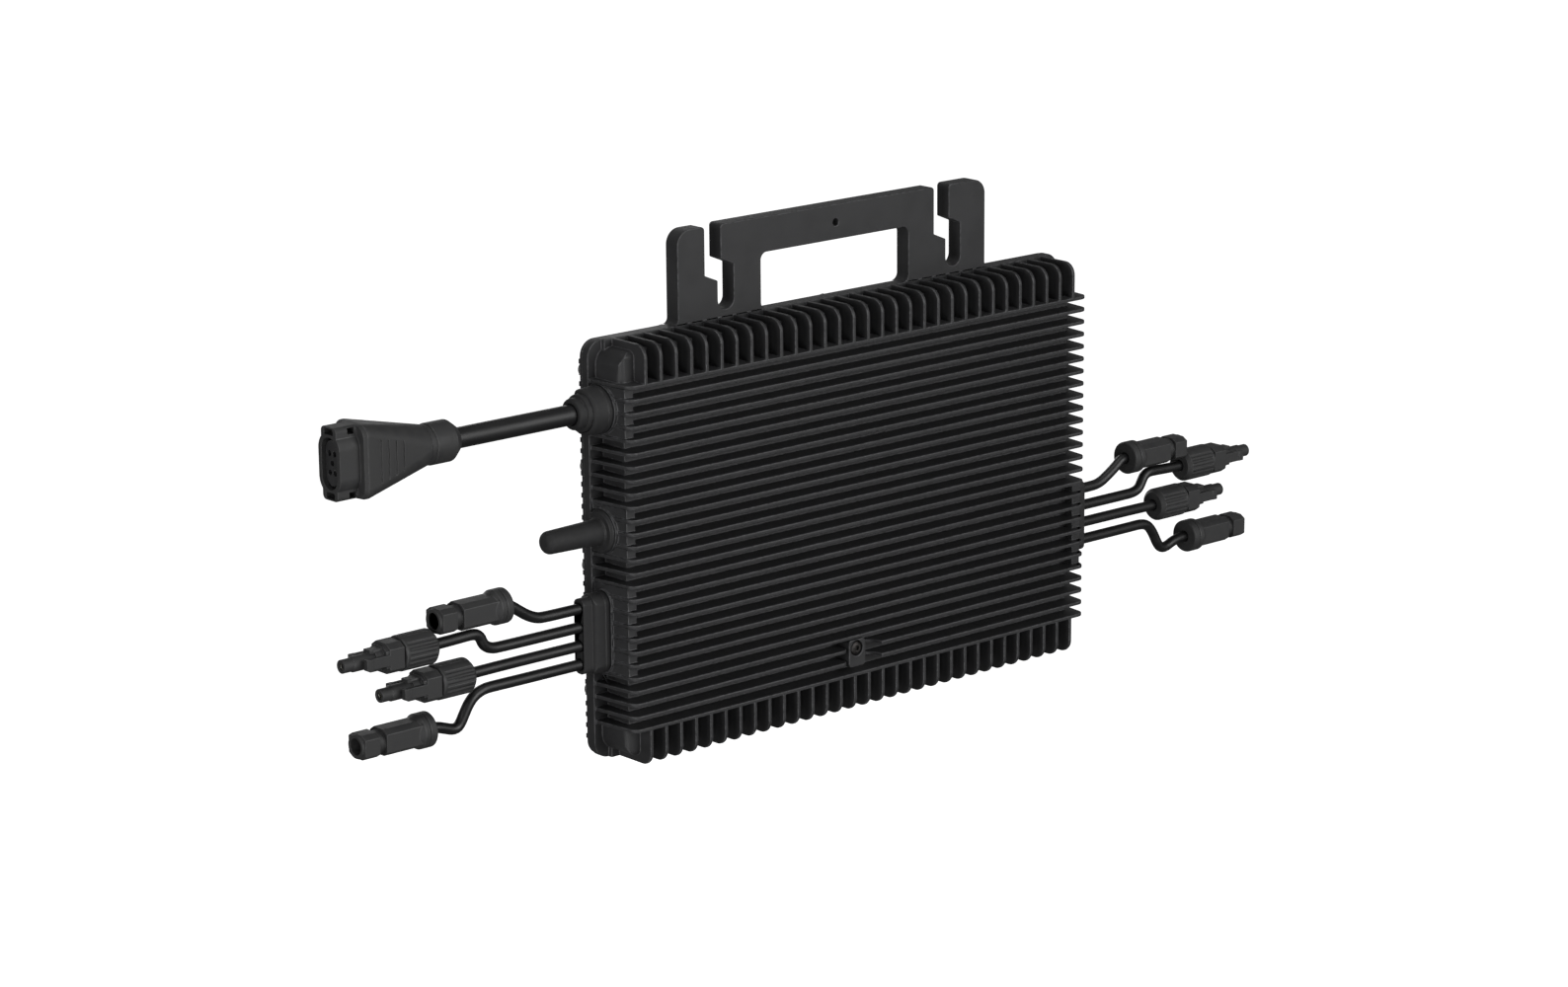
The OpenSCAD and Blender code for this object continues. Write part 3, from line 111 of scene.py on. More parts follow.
# Routes of the cables as (x, z), the same points as in the CAD model
MAINS_ROUTE = [(-0.1795, -0.073), (-0.199, -0.073), (-0.218, -0.073), (-0.238, -0.073),
               (-0.2573, -0.073)]
LEFT_ROUTES = [
    [(-0.1771, -0.1743), (-0.19, -0.1743), (-0.199, -0.1742), (-0.204, -0.1739), (-0.208, -0.1727),
     (-0.2122, -0.1706), (-0.2162, -0.168), (-0.22, -0.1654), (-0.2235, -0.1635),
     (-0.2272, -0.1629)],
    [(-0.1771, -0.1841), (-0.196, -0.1841), (-0.214, -0.1841), (-0.23, -0.184), (-0.234, -0.1836),
     (-0.2367, -0.1826), (-0.2387, -0.1811), (-0.24, -0.1792), (-0.2412, -0.1768),
     (-0.2436, -0.1749), (-0.247, -0.1743), (-0.252, -0.1744), (-0.263, -0.1747),
     (-0.2743, -0.1748)],
    [(-0.1771, -0.1939), (-0.197, -0.1939), (-0.216, -0.1939), (-0.234, -0.194),
     (-0.2522, -0.1942)],
    [(-0.1771, -0.2037), (-0.197, -0.2037), (-0.216, -0.2037), (-0.234, -0.2036),
     (-0.2394, -0.2039), (-0.2436, -0.2051), (-0.247, -0.2072), (-0.2498, -0.2103),
     (-0.2523, -0.2143), (-0.2548, -0.2184), (-0.2573, -0.2204), (-0.2605, -0.2204),
     (-0.2645, -0.2191), (-0.2695, -0.2176), (-0.2763, -0.217)],
]
RIGHT_ROUTES = [
    [(0.1771, -0.1743), (0.186, -0.1743), (0.191, -0.174), (0.195, -0.1729), (0.199, -0.1709),
     (0.203, -0.1686), (0.207, -0.166), (0.2108, -0.1635), (0.2153, -0.1629)],
    [(0.1771, -0.1841), (0.197, -0.1841), (0.214, -0.1841), (0.22, -0.1839), (0.224, -0.1828),
     (0.2262, -0.1808), (0.228, -0.1778), (0.23, -0.1754), (0.2335, -0.1742), (0.239, -0.1742),
     (0.249, -0.1746), (0.2609, -0.1748)],
    [(0.1771, -0.1939), (0.197, -0.1939), (0.218, -0.194), (0.2398, -0.1942)],
    [(0.1771, -0.2037), (0.198, -0.2037), (0.217, -0.2037), (0.226, -0.2037), (0.2308, -0.2046),
     (0.2342, -0.2068), (0.2372, -0.2107), (0.2404, -0.2163), (0.2428, -0.2194), (0.2456, -0.2206),
     (0.2488, -0.2202), (0.2526, -0.2188), (0.2575, -0.2176), (0.2644, -0.2173)],
]


class Edge(Enum):
    """Radius of the eased edges that each way of making leaves, in metres."""

    CAST = 0.45 * MM
    MOULDED = 0.3 * MM
    PRESSED = 0.2 * MM
    TURNED = 0.12 * MM


class Side(Enum):
    """Side of the housing that a lead leaves from, with the sign of its X."""

    LEFT = -1
    RIGHT = 1

    @property
    def word(self) -> str:
        """Returns the side as the CAD nodes' names spell it."""
        return self.name.lower()


def linear(colour: str) -> tuple[float, float, float, float]:
    """Turns an sRGB hex colour to linear light, by the curve of the sRGB standard.

    Args:
        colour: The colour as "#rrggbb".

    Returns:
        Red, green, blue and an alpha of one.
    """
    channels = [int(colour[i:i + 2], 16) / 255 for i in (1, 3, 5)]
    red, green, blue = (c / 12.92 if c <= 0.04045 else ((c + 0.055) / 1.055) ** 2.4
                        for c in channels)
    return red, green, blue, 1.0


def add_node(
    tree: bpy.types.NodeTree,
    kind: str,
    settings: dict[str, object] | None = None,
    inputs: dict[str | int, object] | None = None,
) -> bpy.types.Node:
    """Adds a shader node, with its settings and its inputs filled or linked.

    Args:
        tree: The node tree that gets the node.
        kind: The node's type, without its ShaderNode prefix.
        settings: The node's own settings by name.
        inputs: A value, or the output socket to link, for each input by name or number.

    Returns:
        The new node.
    """
    node = tree.nodes.new("ShaderNode" + kind)
    for name, value in (settings or {}).items():
        setattr(node, name, value)
    for socket, value in (inputs or {}).items():
        if isinstance(value, bpy.types.NodeSocket):
            tree.links.new(value, node.inputs[socket])
        else:
            node.inputs[socket].default_value = value
    return node


@dataclass(frozen=True)
class Grain:
    """One layer of relief or tone that covers a surface.

    Attributes:
        cell: Size of one cell of the pattern.
        depth: Height of the relief from its low to its high places.
        stretch: How many times longer the cells are along X, Y and Z.
        detail: Number of finer octaves.
    """

    cell: float
    depth: float = 0.0
    stretch: tuple[float, float, float] = (1.0, 1.0, 1.0)
    detail: float = 2.0

    def value(self, tree: bpy.types.NodeTree,
              place: bpy.types.NodeSocket) -> bpy.types.NodeSocket:
        """Builds the pattern.

        Args:
            tree: The node tree that gets the pattern.
            place: The surface point in the part's frame.

        Returns:
            A value round one half.
        """
        scaled = add_node(tree, "Mapping", {"vector_type": "TEXTURE"},
                          {"Vector": place, "Scale": self.stretch})
        noise = add_node(tree, "TexNoise", {}, {
            "Vector": scaled.outputs["Vector"], "Scale": 1 / self.cell, "Detail": self.detail,
            "Roughness": OCTAVE_SHARE})
        return noise.outputs["Fac"]


@dataclass(frozen=True)
class Finish:
    """A real material together with the way that its surface was made.

    Attributes:
        name: Common name of the material and its process.
        slot: Slot of the record that the finish belongs to; not used.
        colour: Usual colour.
        shade: Colour of the darker places.
        roughness: Usual roughness.
        uneven: How far the roughness strays over the surface.
        ior: Index of refraction, left at Blender's own for a metal.
        metallic: One for bare metal.
        tone: Pattern that mixes the two colours.
        relief: Patterns that make the bump, from coarse to fine.
        rim: Paler colour along the edges, a painted highlight, or nothing.
        rim_roughness: Roughness along the edges.
        rim_tone: Pattern that mixes the two colours along the edges.
    """

    name: str
    slot: str
    colour: str
    shade: str
    roughness: float
    uneven: float = 0.06
    ior: float = 1.5
    metallic: float = 0.0
    tone: Grain = Grain(9 * MM)
    relief: tuple[Grain, ...] = ()
    rim: str = ""
    rim_roughness: float = 0.4
    rim_tone: Grain = Grain(2.5 * MM)

    def material(self) -> bpy.types.Material:
        """Makes the finish as a Blender material when it is first asked for.

        Returns:
            The material.
        """
        made = bpy.data.materials.get(self.name)
        if made is None:
            made = bpy.data.materials.new(self.name)
            made.use_nodes = True
            tree = made.node_tree
            tree.nodes.clear()
            place = add_node(tree, "TexCoord").outputs["Object"]
            shader = self.shader(tree, place)
            add_node(tree, "OutputMaterial", {}, {"Surface": shader.outputs["BSDF"]})
            made.diffuse_color = linear(self.colour)
        return made

    def cover(self, data: bpy.types.Mesh | bpy.types.Curve) -> None:
        """Gives a mesh or curve the material of the faces and, if there is one, of the edges.

        Args:
            data: The mesh or curve, which has no material yet.
        """
        data.materials.append(self.material())
        if self.rim:
            # The edges' material is the same finish with the paler colour, a painted highlight
            edge = replace(self, name=self.name + ", edges", colour=self.rim, shade=self.colour,
                           roughness=self.rim_roughness, tone=self.rim_tone, rim="")
            data.materials.append(edge.material())

    def shader(self, tree: bpy.types.NodeTree, place: bpy.types.NodeSocket) -> bpy.types.Node:
        """Builds the shader of the finish.

        Args:
            tree: The material's node tree.
            place: The surface point in the part's frame.

        Returns:
            The shader node.
        """
        tone = self.tone.value(tree, place)
        spread = add_node(tree, "MapRange", {}, {
            "Value": tone, "From Min": TONE_SPAN[0], "From Max": TONE_SPAN[1]})
        colour = add_node(tree, "Mix", {"data_type": "RGBA"}, {
            "Factor": spread.outputs["Result"], MIX_LOW: linear(self.shade),
            MIX_HIGH: linear(self.colour)})
        rough = add_node(tree, "MapRange", {}, {
            "Value": tone, "From Min": ROUGHNESS_SPAN[0], "From Max": ROUGHNESS_SPAN[1],
            "To Min": self.roughness - self.uneven, "To Max": self.roughness + self.uneven})
        inputs = {"Base Color": colour.outputs[MIX_OUT], "Roughness": rough.outputs["Result"],
                  "Metallic": self.metallic}
        if not self.metallic:
            inputs["IOR"] = self.ior
        if self.relief:
            inputs["Normal"] = self.bump(tree, place)
        return add_node(tree, "BsdfPrincipled", {}, {**inputs, **self.extras()})

    def bump(self, tree: bpy.types.NodeTree,
             place: bpy.types.NodeSocket) -> bpy.types.NodeSocket:
        """Builds the relief, one bump on the other.

        Args:
            tree: The material's node tree.
            place: The surface point in the part's frame.

        Returns:
            The bent normal.
        """
        normal = None
        for grain in self.relief:
            inputs = {"Height": grain.value(tree, place), "Distance": grain.depth,
                      "Strength": 1.0}
            if normal is not None:
                inputs["Normal"] = normal
            normal = add_node(tree, "Bump", {}, inputs).outputs["Normal"]
        return normal

    def extras(self) -> dict[str, object]:
        """Returns the constant inputs that only this kind of finish sets on its shader."""
        return {}


@dataclass(frozen=True)
class PowderCoat(Finish):
    """Metal under a satin polyester powder coat.

    Attributes:
        gloss: Strength of the coat's highlight, which one half leaves as the IOR gives it.
    """

    gloss: float = 0.42

    def extras(self) -> dict[str, object]:
        """Returns the satin coat's own inputs."""
        return {"Specular IOR Level": self.gloss}


# Satin black that stays dark face on and greys where it is grazed: a soft orange peel of about
# 1.6 mm over a die-cast skin that waves over 12 mm. Along the edges a paler colour is painted on
# as a highlight.
POWDER_COAT = PowderCoat(
    name="polyester powder coat on die-cast aluminium",
    slot="cast_powder_coat",
    colour="#2c2c2d",
    shade="#272728",
    roughness=0.5,
    tone=Grain(14 * MM),
    relief=(Grain(12 * MM, 0.05 * MM), Grain(1.6 * MM, 0.02 * MM),
            Grain(0.5 * MM, 0.012 * MM)),
    rim="#48484a",
)
# The same coat on smooth sheet: flatter, so its highlights run on over the whole plate.
COATED_SHEET = PowderCoat(
    name="polyester powder coat on pressed sheet",
    slot="plate_powder_coat",
    colour="#2b2b2c",
    shade="#262627",
    roughness=0.46,
    tone=Grain(22 * MM),
    relief=(Grain(1.6 * MM, 0.018 * MM), Grain(0.5 * MM, 0.01 * MM)),
    # Paler edges: a painted highlight
    rim="#3a3a3b",
)
# Bright and a little mottled, with sharp small highlights: the heading die leaves a skin with a
# grain of 0.4 mm.
STAINLESS = Finish(
    name="bright cold-headed stainless steel",
    slot="stainless_steel",
    colour="#c9c9c9",
    shade="#adadae",
    roughness=0.26,
    metallic=1.0,
    tone=Grain(1.5 * MM),
    relief=(Grain(0.4 * MM, 0.004 * MM),),
)
# Dark and dull, as weather leaves a blackened screw that has no cover: it takes almost no
# highlight.
BLACKED_STEEL = Finish(
    name="stainless steel, blackened and weathered",
    slot="stainless_steel",
    colour="#4a4847",
    shade="#353332",
    roughness=0.5,
    metallic=1.0,
    tone=Grain(1.2 * MM),
    relief=(Grain(0.5 * MM, 0.008 * MM),),
)
# Matt dark grey with a fine even sparkle: eroded grain of 0.35 mm, drawn as coarse as 0.5 mm so
# that it shows, over the slight sink of a thick moulding. The corners are glossier and painted
# paler, as a highlight.
POLYAMIDE = Finish(
    name="glass-filled polyamide, moulded in a spark-eroded tool",
    slot="moulded_polyamide",
    colour="#2a2a2a",
    shade="#242425",
    roughness=0.66,
    ior=1.53,
    tone=Grain(5 * MM),
    relief=(Grain(6 * MM, 0.03 * MM), Grain(0.5 * MM, 0.02 * MM)),
    rim="#353536",
    rim_roughness=0.5,
)
# The same resin from a darker batch and a duller tool, for glands and the antenna's cover: they
# are a shade deeper than the connectors, and their round steps take only a broad soft highlight.
DARK_POLYAMIDE = replace(
    POLYAMIDE,
    name="carbon-black polyamide, moulded in a blasted tool",
    colour="#19191a",
    shade="#141415",
    roughness=0.74,
    # Paler edges: a painted highlight
    rim="#222223",
)
# Smoother than the bodies round it, with a painted highlight along the rims of the contact holes,
# so that the holes read as a face of their own in the recess.
INSERT_POLYESTER = Finish(
    name="glass-filled polyester, smooth moulding",
    slot="connector_insert",
    colour="#262627",
    shade="#202021",
    roughness=0.42,
    ior=1.57,
    tone=Grain(4 * MM),
    relief=(Grain(0.8 * MM, 0.008 * MM),),
    rim="#6a6a6b",
)
# Soft black rubber that swallows the light, with the faint skin of its press.
SILICONE = Finish(
    name="silicone rubber, compression moulded",
    slot="silicone_seal",
    colour="#1c1c1d",
    shade="#171718",
    roughness=0.7,
    ior=1.41,
    tone=Grain(3 * MM),
    relief=(Grain(0.6 * MM, 0.015 * MM),),
)
# Warm silver, a little cloudy, as dull tin plating is.
TINNED = Finish(
    name="tin plating on turned copper",
    slot="tinned_copper",
    colour="#cfcdc6",
    shade="#bab8b1",
    roughness=0.3,
    metallic=1.0,
    tone=Grain(1.2 * MM),
    relief=(Grain(0.3 * MM, 0.003 * MM),),
)
# Near black with one long soft highlight on top; the die leaves faint lines along the jacket.
MAINS_JACKET = Finish(
    name="extruded rubber jacket, mains lead",
    slot="ac_cable_jacket",
    colour="#0c0c0d",
    shade="#08080a",
    roughness=0.46,
    ior=1.52,
    tone=Grain(6 * MM, stretch=(6.0, 1.0, 1.0)),
    relief=(Grain(1.2 * MM, 0.02 * MM, stretch=(14.0, 1.0, 1.0)),
            Grain(0.4 * MM, 0.006 * MM)),
)
# A little glossier than the mains lead, so that its highlight is a narrower line that follows
# each bend.
SOLAR_JACKET = Finish(
    name="extruded cross-linked polyolefin jacket",
    slot="dc_cable_jacket",
    colour="#0d0d0e",
    shade="#09090a",
    roughness=0.42,
    tone=Grain(4 * MM, stretch=(6.0, 1.0, 1.0)),
    relief=(Grain(1.0 * MM, 0.012 * MM, stretch=(14.0, 1.0, 1.0)),
            Grain(0.4 * MM, 0.004 * MM)),
)
# Glossy green in two close tones, lighter and darker as the copper under it comes and goes.
SOLDER_RESIST = Finish(
    name="solder resist on glass laminate",
    slot="board_laminate",
    colour="#1f5a3c",
    shade="#194c32",
    roughness=0.3,
    ior=1.55,
    tone=Grain(10 * MM),
    relief=(Grain(0.9 * MM, 0.01 * MM),),
)
# Dull slate grey with the fine pits of a sintered block.
FERRITE = Finish(
    name="sintered ferrite, ground",
    slot="ferrite",
    colour="#3c3d41",
    shade="#34353a",
    roughness=0.6,
    ior=2.2,
    tone=Grain(2 * MM),
    relief=(Grain(0.4 * MM, 0.02 * MM),),
)
# Lacquered copper in rows, each turn with its own highlight.
COPPER_WIRE = Finish(
    name="enamelled copper wire, wound",
    slot="copper_winding",
    colour="#b0683a",
    shade="#96542c",
    roughness=0.32,
    metallic=1.0,
    tone=Grain(1.0 * MM, stretch=(1.0, 1.0, 8.0)),
    relief=(Grain(0.6 * MM, 0.1 * MM, stretch=(1.0, 1.0, 10.0)),),
)
# Pale, soft and dead matt, with the weave of its carrier.
GAP_PAD = Finish(
    name="filled silicone gap pad, calendered",
    slot="thermal_pad",
    colour="#c9cfd0",
    shade="#bcc3c4",
    roughness=0.75,
    ior=1.42,
    tone=Grain(3 * MM),
    relief=(Grain(0.7 * MM, 0.03 * MM),),
)
# Satin silver, drawn in lines along the can.
DRAWN_CAN = Finish(
    name="aluminium, deep drawn",
    slot="capacitor_can",
    colour="#c3c5c8",
    shade="#afb1b5",
    roughness=0.34,
    metallic=1.0,
    tone=Grain(2 * MM, stretch=(1.0, 1.0, 8.0)),
    relief=(Grain(0.5 * MM, 0.006 * MM, stretch=(1.0, 1.0, 20.0)),),
)
# Even glossy blue with a slight sink over the winding inside.
FILM_CASE = Finish(
    name="polybutylene case, gloss moulded",
    slot="film_case",
    colour="#2b4a7a",
    shade="#25416c",
    roughness=0.25,
    ior=1.55,
    tone=Grain(8 * MM),
    relief=(Grain(2 * MM, 0.01 * MM),),
)
# Black and finely pitted, with no highlight to speak of.
EPOXY_CASE = Finish(
    name="moulded epoxy case",
    slot="component_case",
    colour="#202124",
    shade="#1a1b1e",
    roughness=0.5,
    ior=1.55,
    tone=Grain(2 * MM),
    relief=(Grain(0.3 * MM, 0.012 * MM),),
)


def new_object(name: str, data: bpy.types.ID) -> bpy.types.Object:
    """Makes an object and puts it in the scene.

    Args:
        name: Name of the object.
        data: Its mesh, curve, light or camera.

    Returns:
        The object.
    """
    made = bpy.data.objects.new(name, data)
    bpy.context.scene.collection.objects.link(made)
    return made


def put_in_frame(piece: bpy.types.Object, nodes: tuple[str, ...]) -> None:
    """Ties a piece to the CAD model.

    Args:
        piece: The piece, in place.
        nodes: The CAD nodes that it stands for, if any.
    """
    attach(piece, BODY)
    if nodes:
        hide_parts(*nodes)


def keep_flat(piece: bpy.types.Object) -> None:
    """Turns the normal of each corner to its largest faces, so that flat faces look flat."""
    piece.modifiers.new("flat faces stay flat", "WEIGHTED_NORMAL").weight = FLAT_WEIGHT


def cut_flat(form: bmesh.types.BMesh, planes: tuple[tuple[Vector, Vector], ...]) -> None:
    """Cuts the faces along planes, and marks the cuts as seams.

    Args:
        form: The mesh.
        planes: A point and a normal for each plane.
    """
    for point, normal in planes:
        everything = [*form.verts, *form.edges, *form.faces]
        cut = bmesh.ops.bisect_plane(form, geom=everything, dist=CUT_GAP, plane_co=point,
                                     plane_no=normal)
        for item in cut["geom_cut"]:
            if isinstance(item, bmesh.types.BMEdge):
                item.seam = True


def settle(piece: bpy.types.Object, form: BVHTree, reach: float) -> None:
    """Fixes the eased edges in the mesh, and pulls what they threw off the form back onto it.

    Args:
        piece: The piece, which still has its bevel as a modifier.
        form: The form before its edges were eased.
        reach: How far an eased edge can lie from the form.
    """
    eased = piece.evaluated_get(bpy.context.evaluated_depsgraph_get())
    mesh = bpy.data.meshes.new_from_object(eased)
    strays = 0
    for vert in mesh.vertices:
        place, _, _, gap = form.find_nearest(vert.co)
        if gap > reach:
            vert.co = place
            strays += 1
    sharp_mesh, piece.data = piece.data, mesh
    bpy.data.meshes.remove(sharp_mesh)
    mesh.name = piece.name
    piece.modifiers.clear()
    log.info("%s: %d faces, %d corners pulled back", piece.name, len(mesh.polygons), strays)


def eased_copy(
    node: str,
    finish: Finish,
    edge: Edge,
    planes: tuple[tuple[Vector, Vector], ...] = (),
) -> bpy.types.Object:
    """Makes a piece with the form of a CAD node and eased edges, which stands for the node.

    Args:
        node: The CAD node.
        finish: The finish that covers it.
        edge: Radius of the eased edges.
        planes: Where to part its flat faces, so that none has a hole in it.

    Returns:
        The new piece.
    """
    form = bmesh.new()
    form.from_mesh(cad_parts[node].data)
    bmesh.ops.remove_doubles(form, verts=form.verts, dist=WELD_GAP)
    surface = BVHTree.FromBMesh(form)
    cut_flat(form, planes)
    bmesh.ops.dissolve_limit(form, angle_limit=FLAT_ANGLE, verts=form.verts, edges=form.edges,
                             delimit={"SEAM"})
    for face in form.faces:
        face.smooth = True
    mesh = bpy.data.meshes.new(node + "_shell")
    form.to_mesh(mesh)
    form.free()
    finish.cover(mesh)
    piece = new_object(mesh.name, mesh)
    bevel = piece.modifiers.new("eased edges", "BEVEL")
    bevel.width = edge.value
    bevel.segments = EASED_FACETS
    bevel.limit_method = "ANGLE"
    bevel.angle_limit = SHARP_ANGLE
    bevel.use_clamp_overlap = False
    bevel.loop_slide = False
    # The eased edges take the material with the painted highlight, where the finish has one
    bevel.material = RIM_SLOT if finish.rim else OWN_SLOT
    settle(piece, surface, edge.value * STRAY_SHARE)
    keep_flat(piece)
    put_in_frame(piece, (node,))
    return piece


def smooth_route(points: list[tuple[float, float]], count: int) -> list[Vector]:
    """Lays one smooth curve through the points of a cable's route.

    Args:
        points: The route's (x, z) points, all at the depth of the gland axes.
        count: Number of points to give back.

    Returns:
        Points that follow the curve, level at both ends.
    """
    places = [Vector((x, LEAD_Y, z)) for x, z in points]
    first = Vector((2 * places[0].x - places[1].x, LEAD_Y, places[0].z))
    last = Vector((2 * places[-1].x - places[-2].x, LEAD_Y, places[-1].z))
    chain = [first, *places, last]
    spans = len(places) - 1
    route = []
    for step in range(count):
        along = step / (count - 1) * spans
        i = min(int(along), spans - 1)
        t = along - i
        # From b to c, on a cubic whose slope at each end follows the points on either side of it
        a, b, c, d = chain[i:i + 4]
        route.append(0.5 * (2 * b + (c - a) * t + (2 * a - 5 * b + 4 * c - d) * t * t
                            + (3 * b - a - 3 * c + d) * t ** 3))
    return route


@dataclass
class Lead:
    """One cable from its gland to its connector, as one smooth tube.

    Attributes:
        node: The CAD node of the cable.
        route: The cable's (x, z) points, as in the CAD model.
        exit_x: Where the cable comes out of its gland; not used.
        length: Length of the cable between its two ends.
        diameter: Diameter of the jacket.
        finish: The jacket's finish.
        pieces: The pieces on the cable's end; not used.
        points: Number of points along the tube.
        roundness: Bevel resolution of the curve, which sets the number of the tube's sides.
    """

    node: str
    route: list[tuple[float, float]]
    exit_x: float
    length: float
    diameter: float
    finish: Finish
    pieces: list[str]
    points: int = 33
    roundness: int = 8

    def build(self) -> None:
        curve = bpy.data.curves.new(self.node + "_jacket", "CURVE")
        curve.dimensions = "3D"
        curve.bevel_depth = self.diameter / 2
        curve.bevel_resolution = self.roundness
        curve.use_fill_caps = True
        spline = curve.splines.new("POLY")
        route = smooth_route(self.route, self.points)
        spline.points.add(len(route) - 1)
        for point, place in zip(spline.points, route):
            point.co = (*place, 1.0)
        spline.use_smooth = True
        self.finish.cover(curve)
        cable = new_object(curve.name, curve)
        put_in_frame(cable, (self.node,))
        measured = sum((b - a).length for a, b in zip(route, route[1:]))
        log.info("%s: %.1f mm long, declared %.1f mm", self.node, measured / MM, self.length / MM)


@dataclass
class MainsLead:
    """The short AC lead: gland, cable, clamping nut, connector body, contact insert and contacts.

    Attributes:
        cable_d: Diameter of the jacket.
        exit_x: Where the cable comes out of its gland.
        length: Length of the cable between gland and connector.
        edge: Radius of the mouldings' edges.
        tower_front_x: Front of the tower that carries the contact holes towards the mouth.
        insert_front: Middle of the insert's front face.
        tower_share: Size of the tower next to the insert, along X, Y and Z.
    """

    cable_d: float = 10.6 * MM
    exit_x: float = -181 * MM
    length: float = MAINS_LENGTH
    edge: Edge = Edge.MOULDED
    tower_front_x: float = -326.5 * MM
    insert_front: Vector = field(default_factory=lambda: Vector((-0.3213, LEAD_Y, -0.073)))
    tower_share: tuple[float, float, float] = (0.24, 0.8, 0.88)

    def build_tower(self, insert: bpy.types.Object) -> bpy.types.Object:
        """Makes the tower in the recess, whose holes go on into those of the insert.

        Args:
            insert: The insert, whose outline and holes the tower repeats a little smaller.

        Returns:
            The tower.
        """
        front = Vector((self.tower_front_x, self.insert_front.y, self.insert_front.z))
        mesh = insert.data.copy()
        mesh.name = "ac_contact_tower"
        mesh.transform(Matrix.Translation(front) @ Matrix.Diagonal((*self.tower_share, 1.0))
                       @ Matrix.Translation(-self.insert_front))
        tower = new_object(mesh.name, mesh)
        keep_flat(tower)
        put_in_frame(tower, ())
        return tower

    def build(self) -> None:
        """Makes the connector, lays the cable to it and makes the gland."""
        insert = eased_copy("ac_connector_insert", INSERT_POLYESTER, Edge.TURNED)
        ends = [eased_copy("ac_connector_nut", POLYAMIDE, self.edge),
                eased_copy("ac_connector_body", POLYAMIDE, self.edge),
                insert, self.build_tower(insert),
                eased_copy("ac_connector_contacts", TINNED, Edge.TURNED)]
        Lead("ac_cable", MAINS_ROUTE, self.exit_x, self.length, self.cable_d, MAINS_JACKET,
             [piece.name for piece in ends]).build()
        eased_copy("ac_gland", DARK_POLYAMIDE, self.edge)
        eased_copy("ac_gland_seal", SILICONE, Edge.TURNED)


@dataclass
class SolarLeads:
    """The four DC leads of one side: gland, seal, and the cables with their sockets and plugs.

    Attributes:
        side: Side of the housing.
        routes: The (x, z) points of the four cables, from the top.
        lengths: Length of each cable between gland and connector.
        cable_d: Diameter of the jackets.
        exit_x: Distance from the middle at which the cables come out of the gland.
        edge: Radius of the mouldings' edges.
    """

    side: Side
    routes: list[list[tuple[float, float]]]
    lengths: tuple[float, float, float, float]
    cable_d: float = 5.8 * MM
    exit_x: float = 178.6 * MM
    edge: Edge = Edge.MOULDED

    def end_nodes(self, number: int) -> list[str]:
        """Names the CAD nodes on the end of a cable.

        Args:
            number: Number of the cable, from the top.

        Returns:
            The names of the nodes.
        """
        is_socket = number in SOCKET_NUMBERS
        parts = ("dc_socket", "socket_cap") if is_socket else ("dc_plug", "plug_nut")
        return [f"{part}_{self.side.word}_{number}" for part in parts]

    def build(self) -> None:
        """Makes the connectors, lays the cables to them and makes the gland."""
        exit_x = self.side.value * self.exit_x
        for number, (route, length) in enumerate(zip(self.routes, self.lengths), start=1):
            ends = [eased_copy(node, POLYAMIDE, self.edge) for node in self.end_nodes(number)]
            Lead(f"dc_cable_{self.side.word}_{number}", route, exit_x, length, self.cable_d,
                 SOLAR_JACKET, [piece.name for piece in ends]).build()
        eased_copy("dc_gland_" + self.side.word, DARK_POLYAMIDE, self.edge)
        eased_copy("dc_gland_seal_" + self.side.word, SILICONE, Edge.TURNED)


@dataclass
class DcContacts:
    """The contact pins of all sockets and the contact sleeves of all plugs.

    Attributes:
        edge: Radius of the contacts' edges.
    """

    edge: Edge = Edge.TURNED

    def build(self) -> None:
        """Makes the pins and the sleeves."""
        for node in ("socket_pins", "plug_sleeves"):
            eased_copy(node, TINNED, self.edge)


@dataclass
class Casting:
    """The finned housing with its hanging bracket.

    Attributes:
        window_z: Height of the middle of the bracket's window.
        edge: Radius of the casting's edges.
    """

    window_z: float = -24.1 * MM
    edge: Edge = Edge.CAST

    def build(self) -> None:
        """Makes the casting, its large faces parted so that the bracket's holes stay open."""
        upright = (Vector((0.0, 0.0, 0.0)), X_AXIS)
        level = (Vector((0.0, 0.0, self.window_z)), Z_AXIS)
        eased_copy("finned_housing", POWDER_COAT, self.edge, (upright, level))


@dataclass
class RearClosure:
    """What closes the casting from behind: plate, gasket and the ring of screws.

    Attributes:
        plate_edge: Radius of the plate's edges.
        small_edge: Radius of the edges of the gasket and the screws.
    """

    plate_edge: Edge = Edge.PRESSED
    small_edge: Edge = Edge.TURNED

    def build(self) -> None:
        """Makes the plate, the gasket and the screws."""
        eased_copy("rear_cover", COATED_SHEET, self.plate_edge)
        eased_copy("cover_gasket", SILICONE, self.small_edge)
        eased_copy("cover_screws", STAINLESS, self.small_edge)


@dataclass
class GroundPoint:
    """The screw and washer that take the ground wire.

    Attributes:
        edge: Radius of their edges.
    """

    edge: Edge = Edge.TURNED

    def build(self) -> None:
        """Makes the screw and its washer."""
        eased_copy("ground_screw", BLACKED_STEEL, self.edge)
        eased_copy("ground_washer", BLACKED_STEEL, self.edge)


@dataclass
class Antenna:
    """The stub on the left wall and the rod in it.

    Attributes:
        edge: Radius of the cover's edges.
    """

    edge: Edge = Edge.MOULDED

    def build(self) -> None:
        """Makes the cover and the rod."""
        eased_copy("antenna_cover", DARK_POLYAMIDE, self.edge)
        eased_copy("antenna_rod", TINNED, Edge.TURNED)


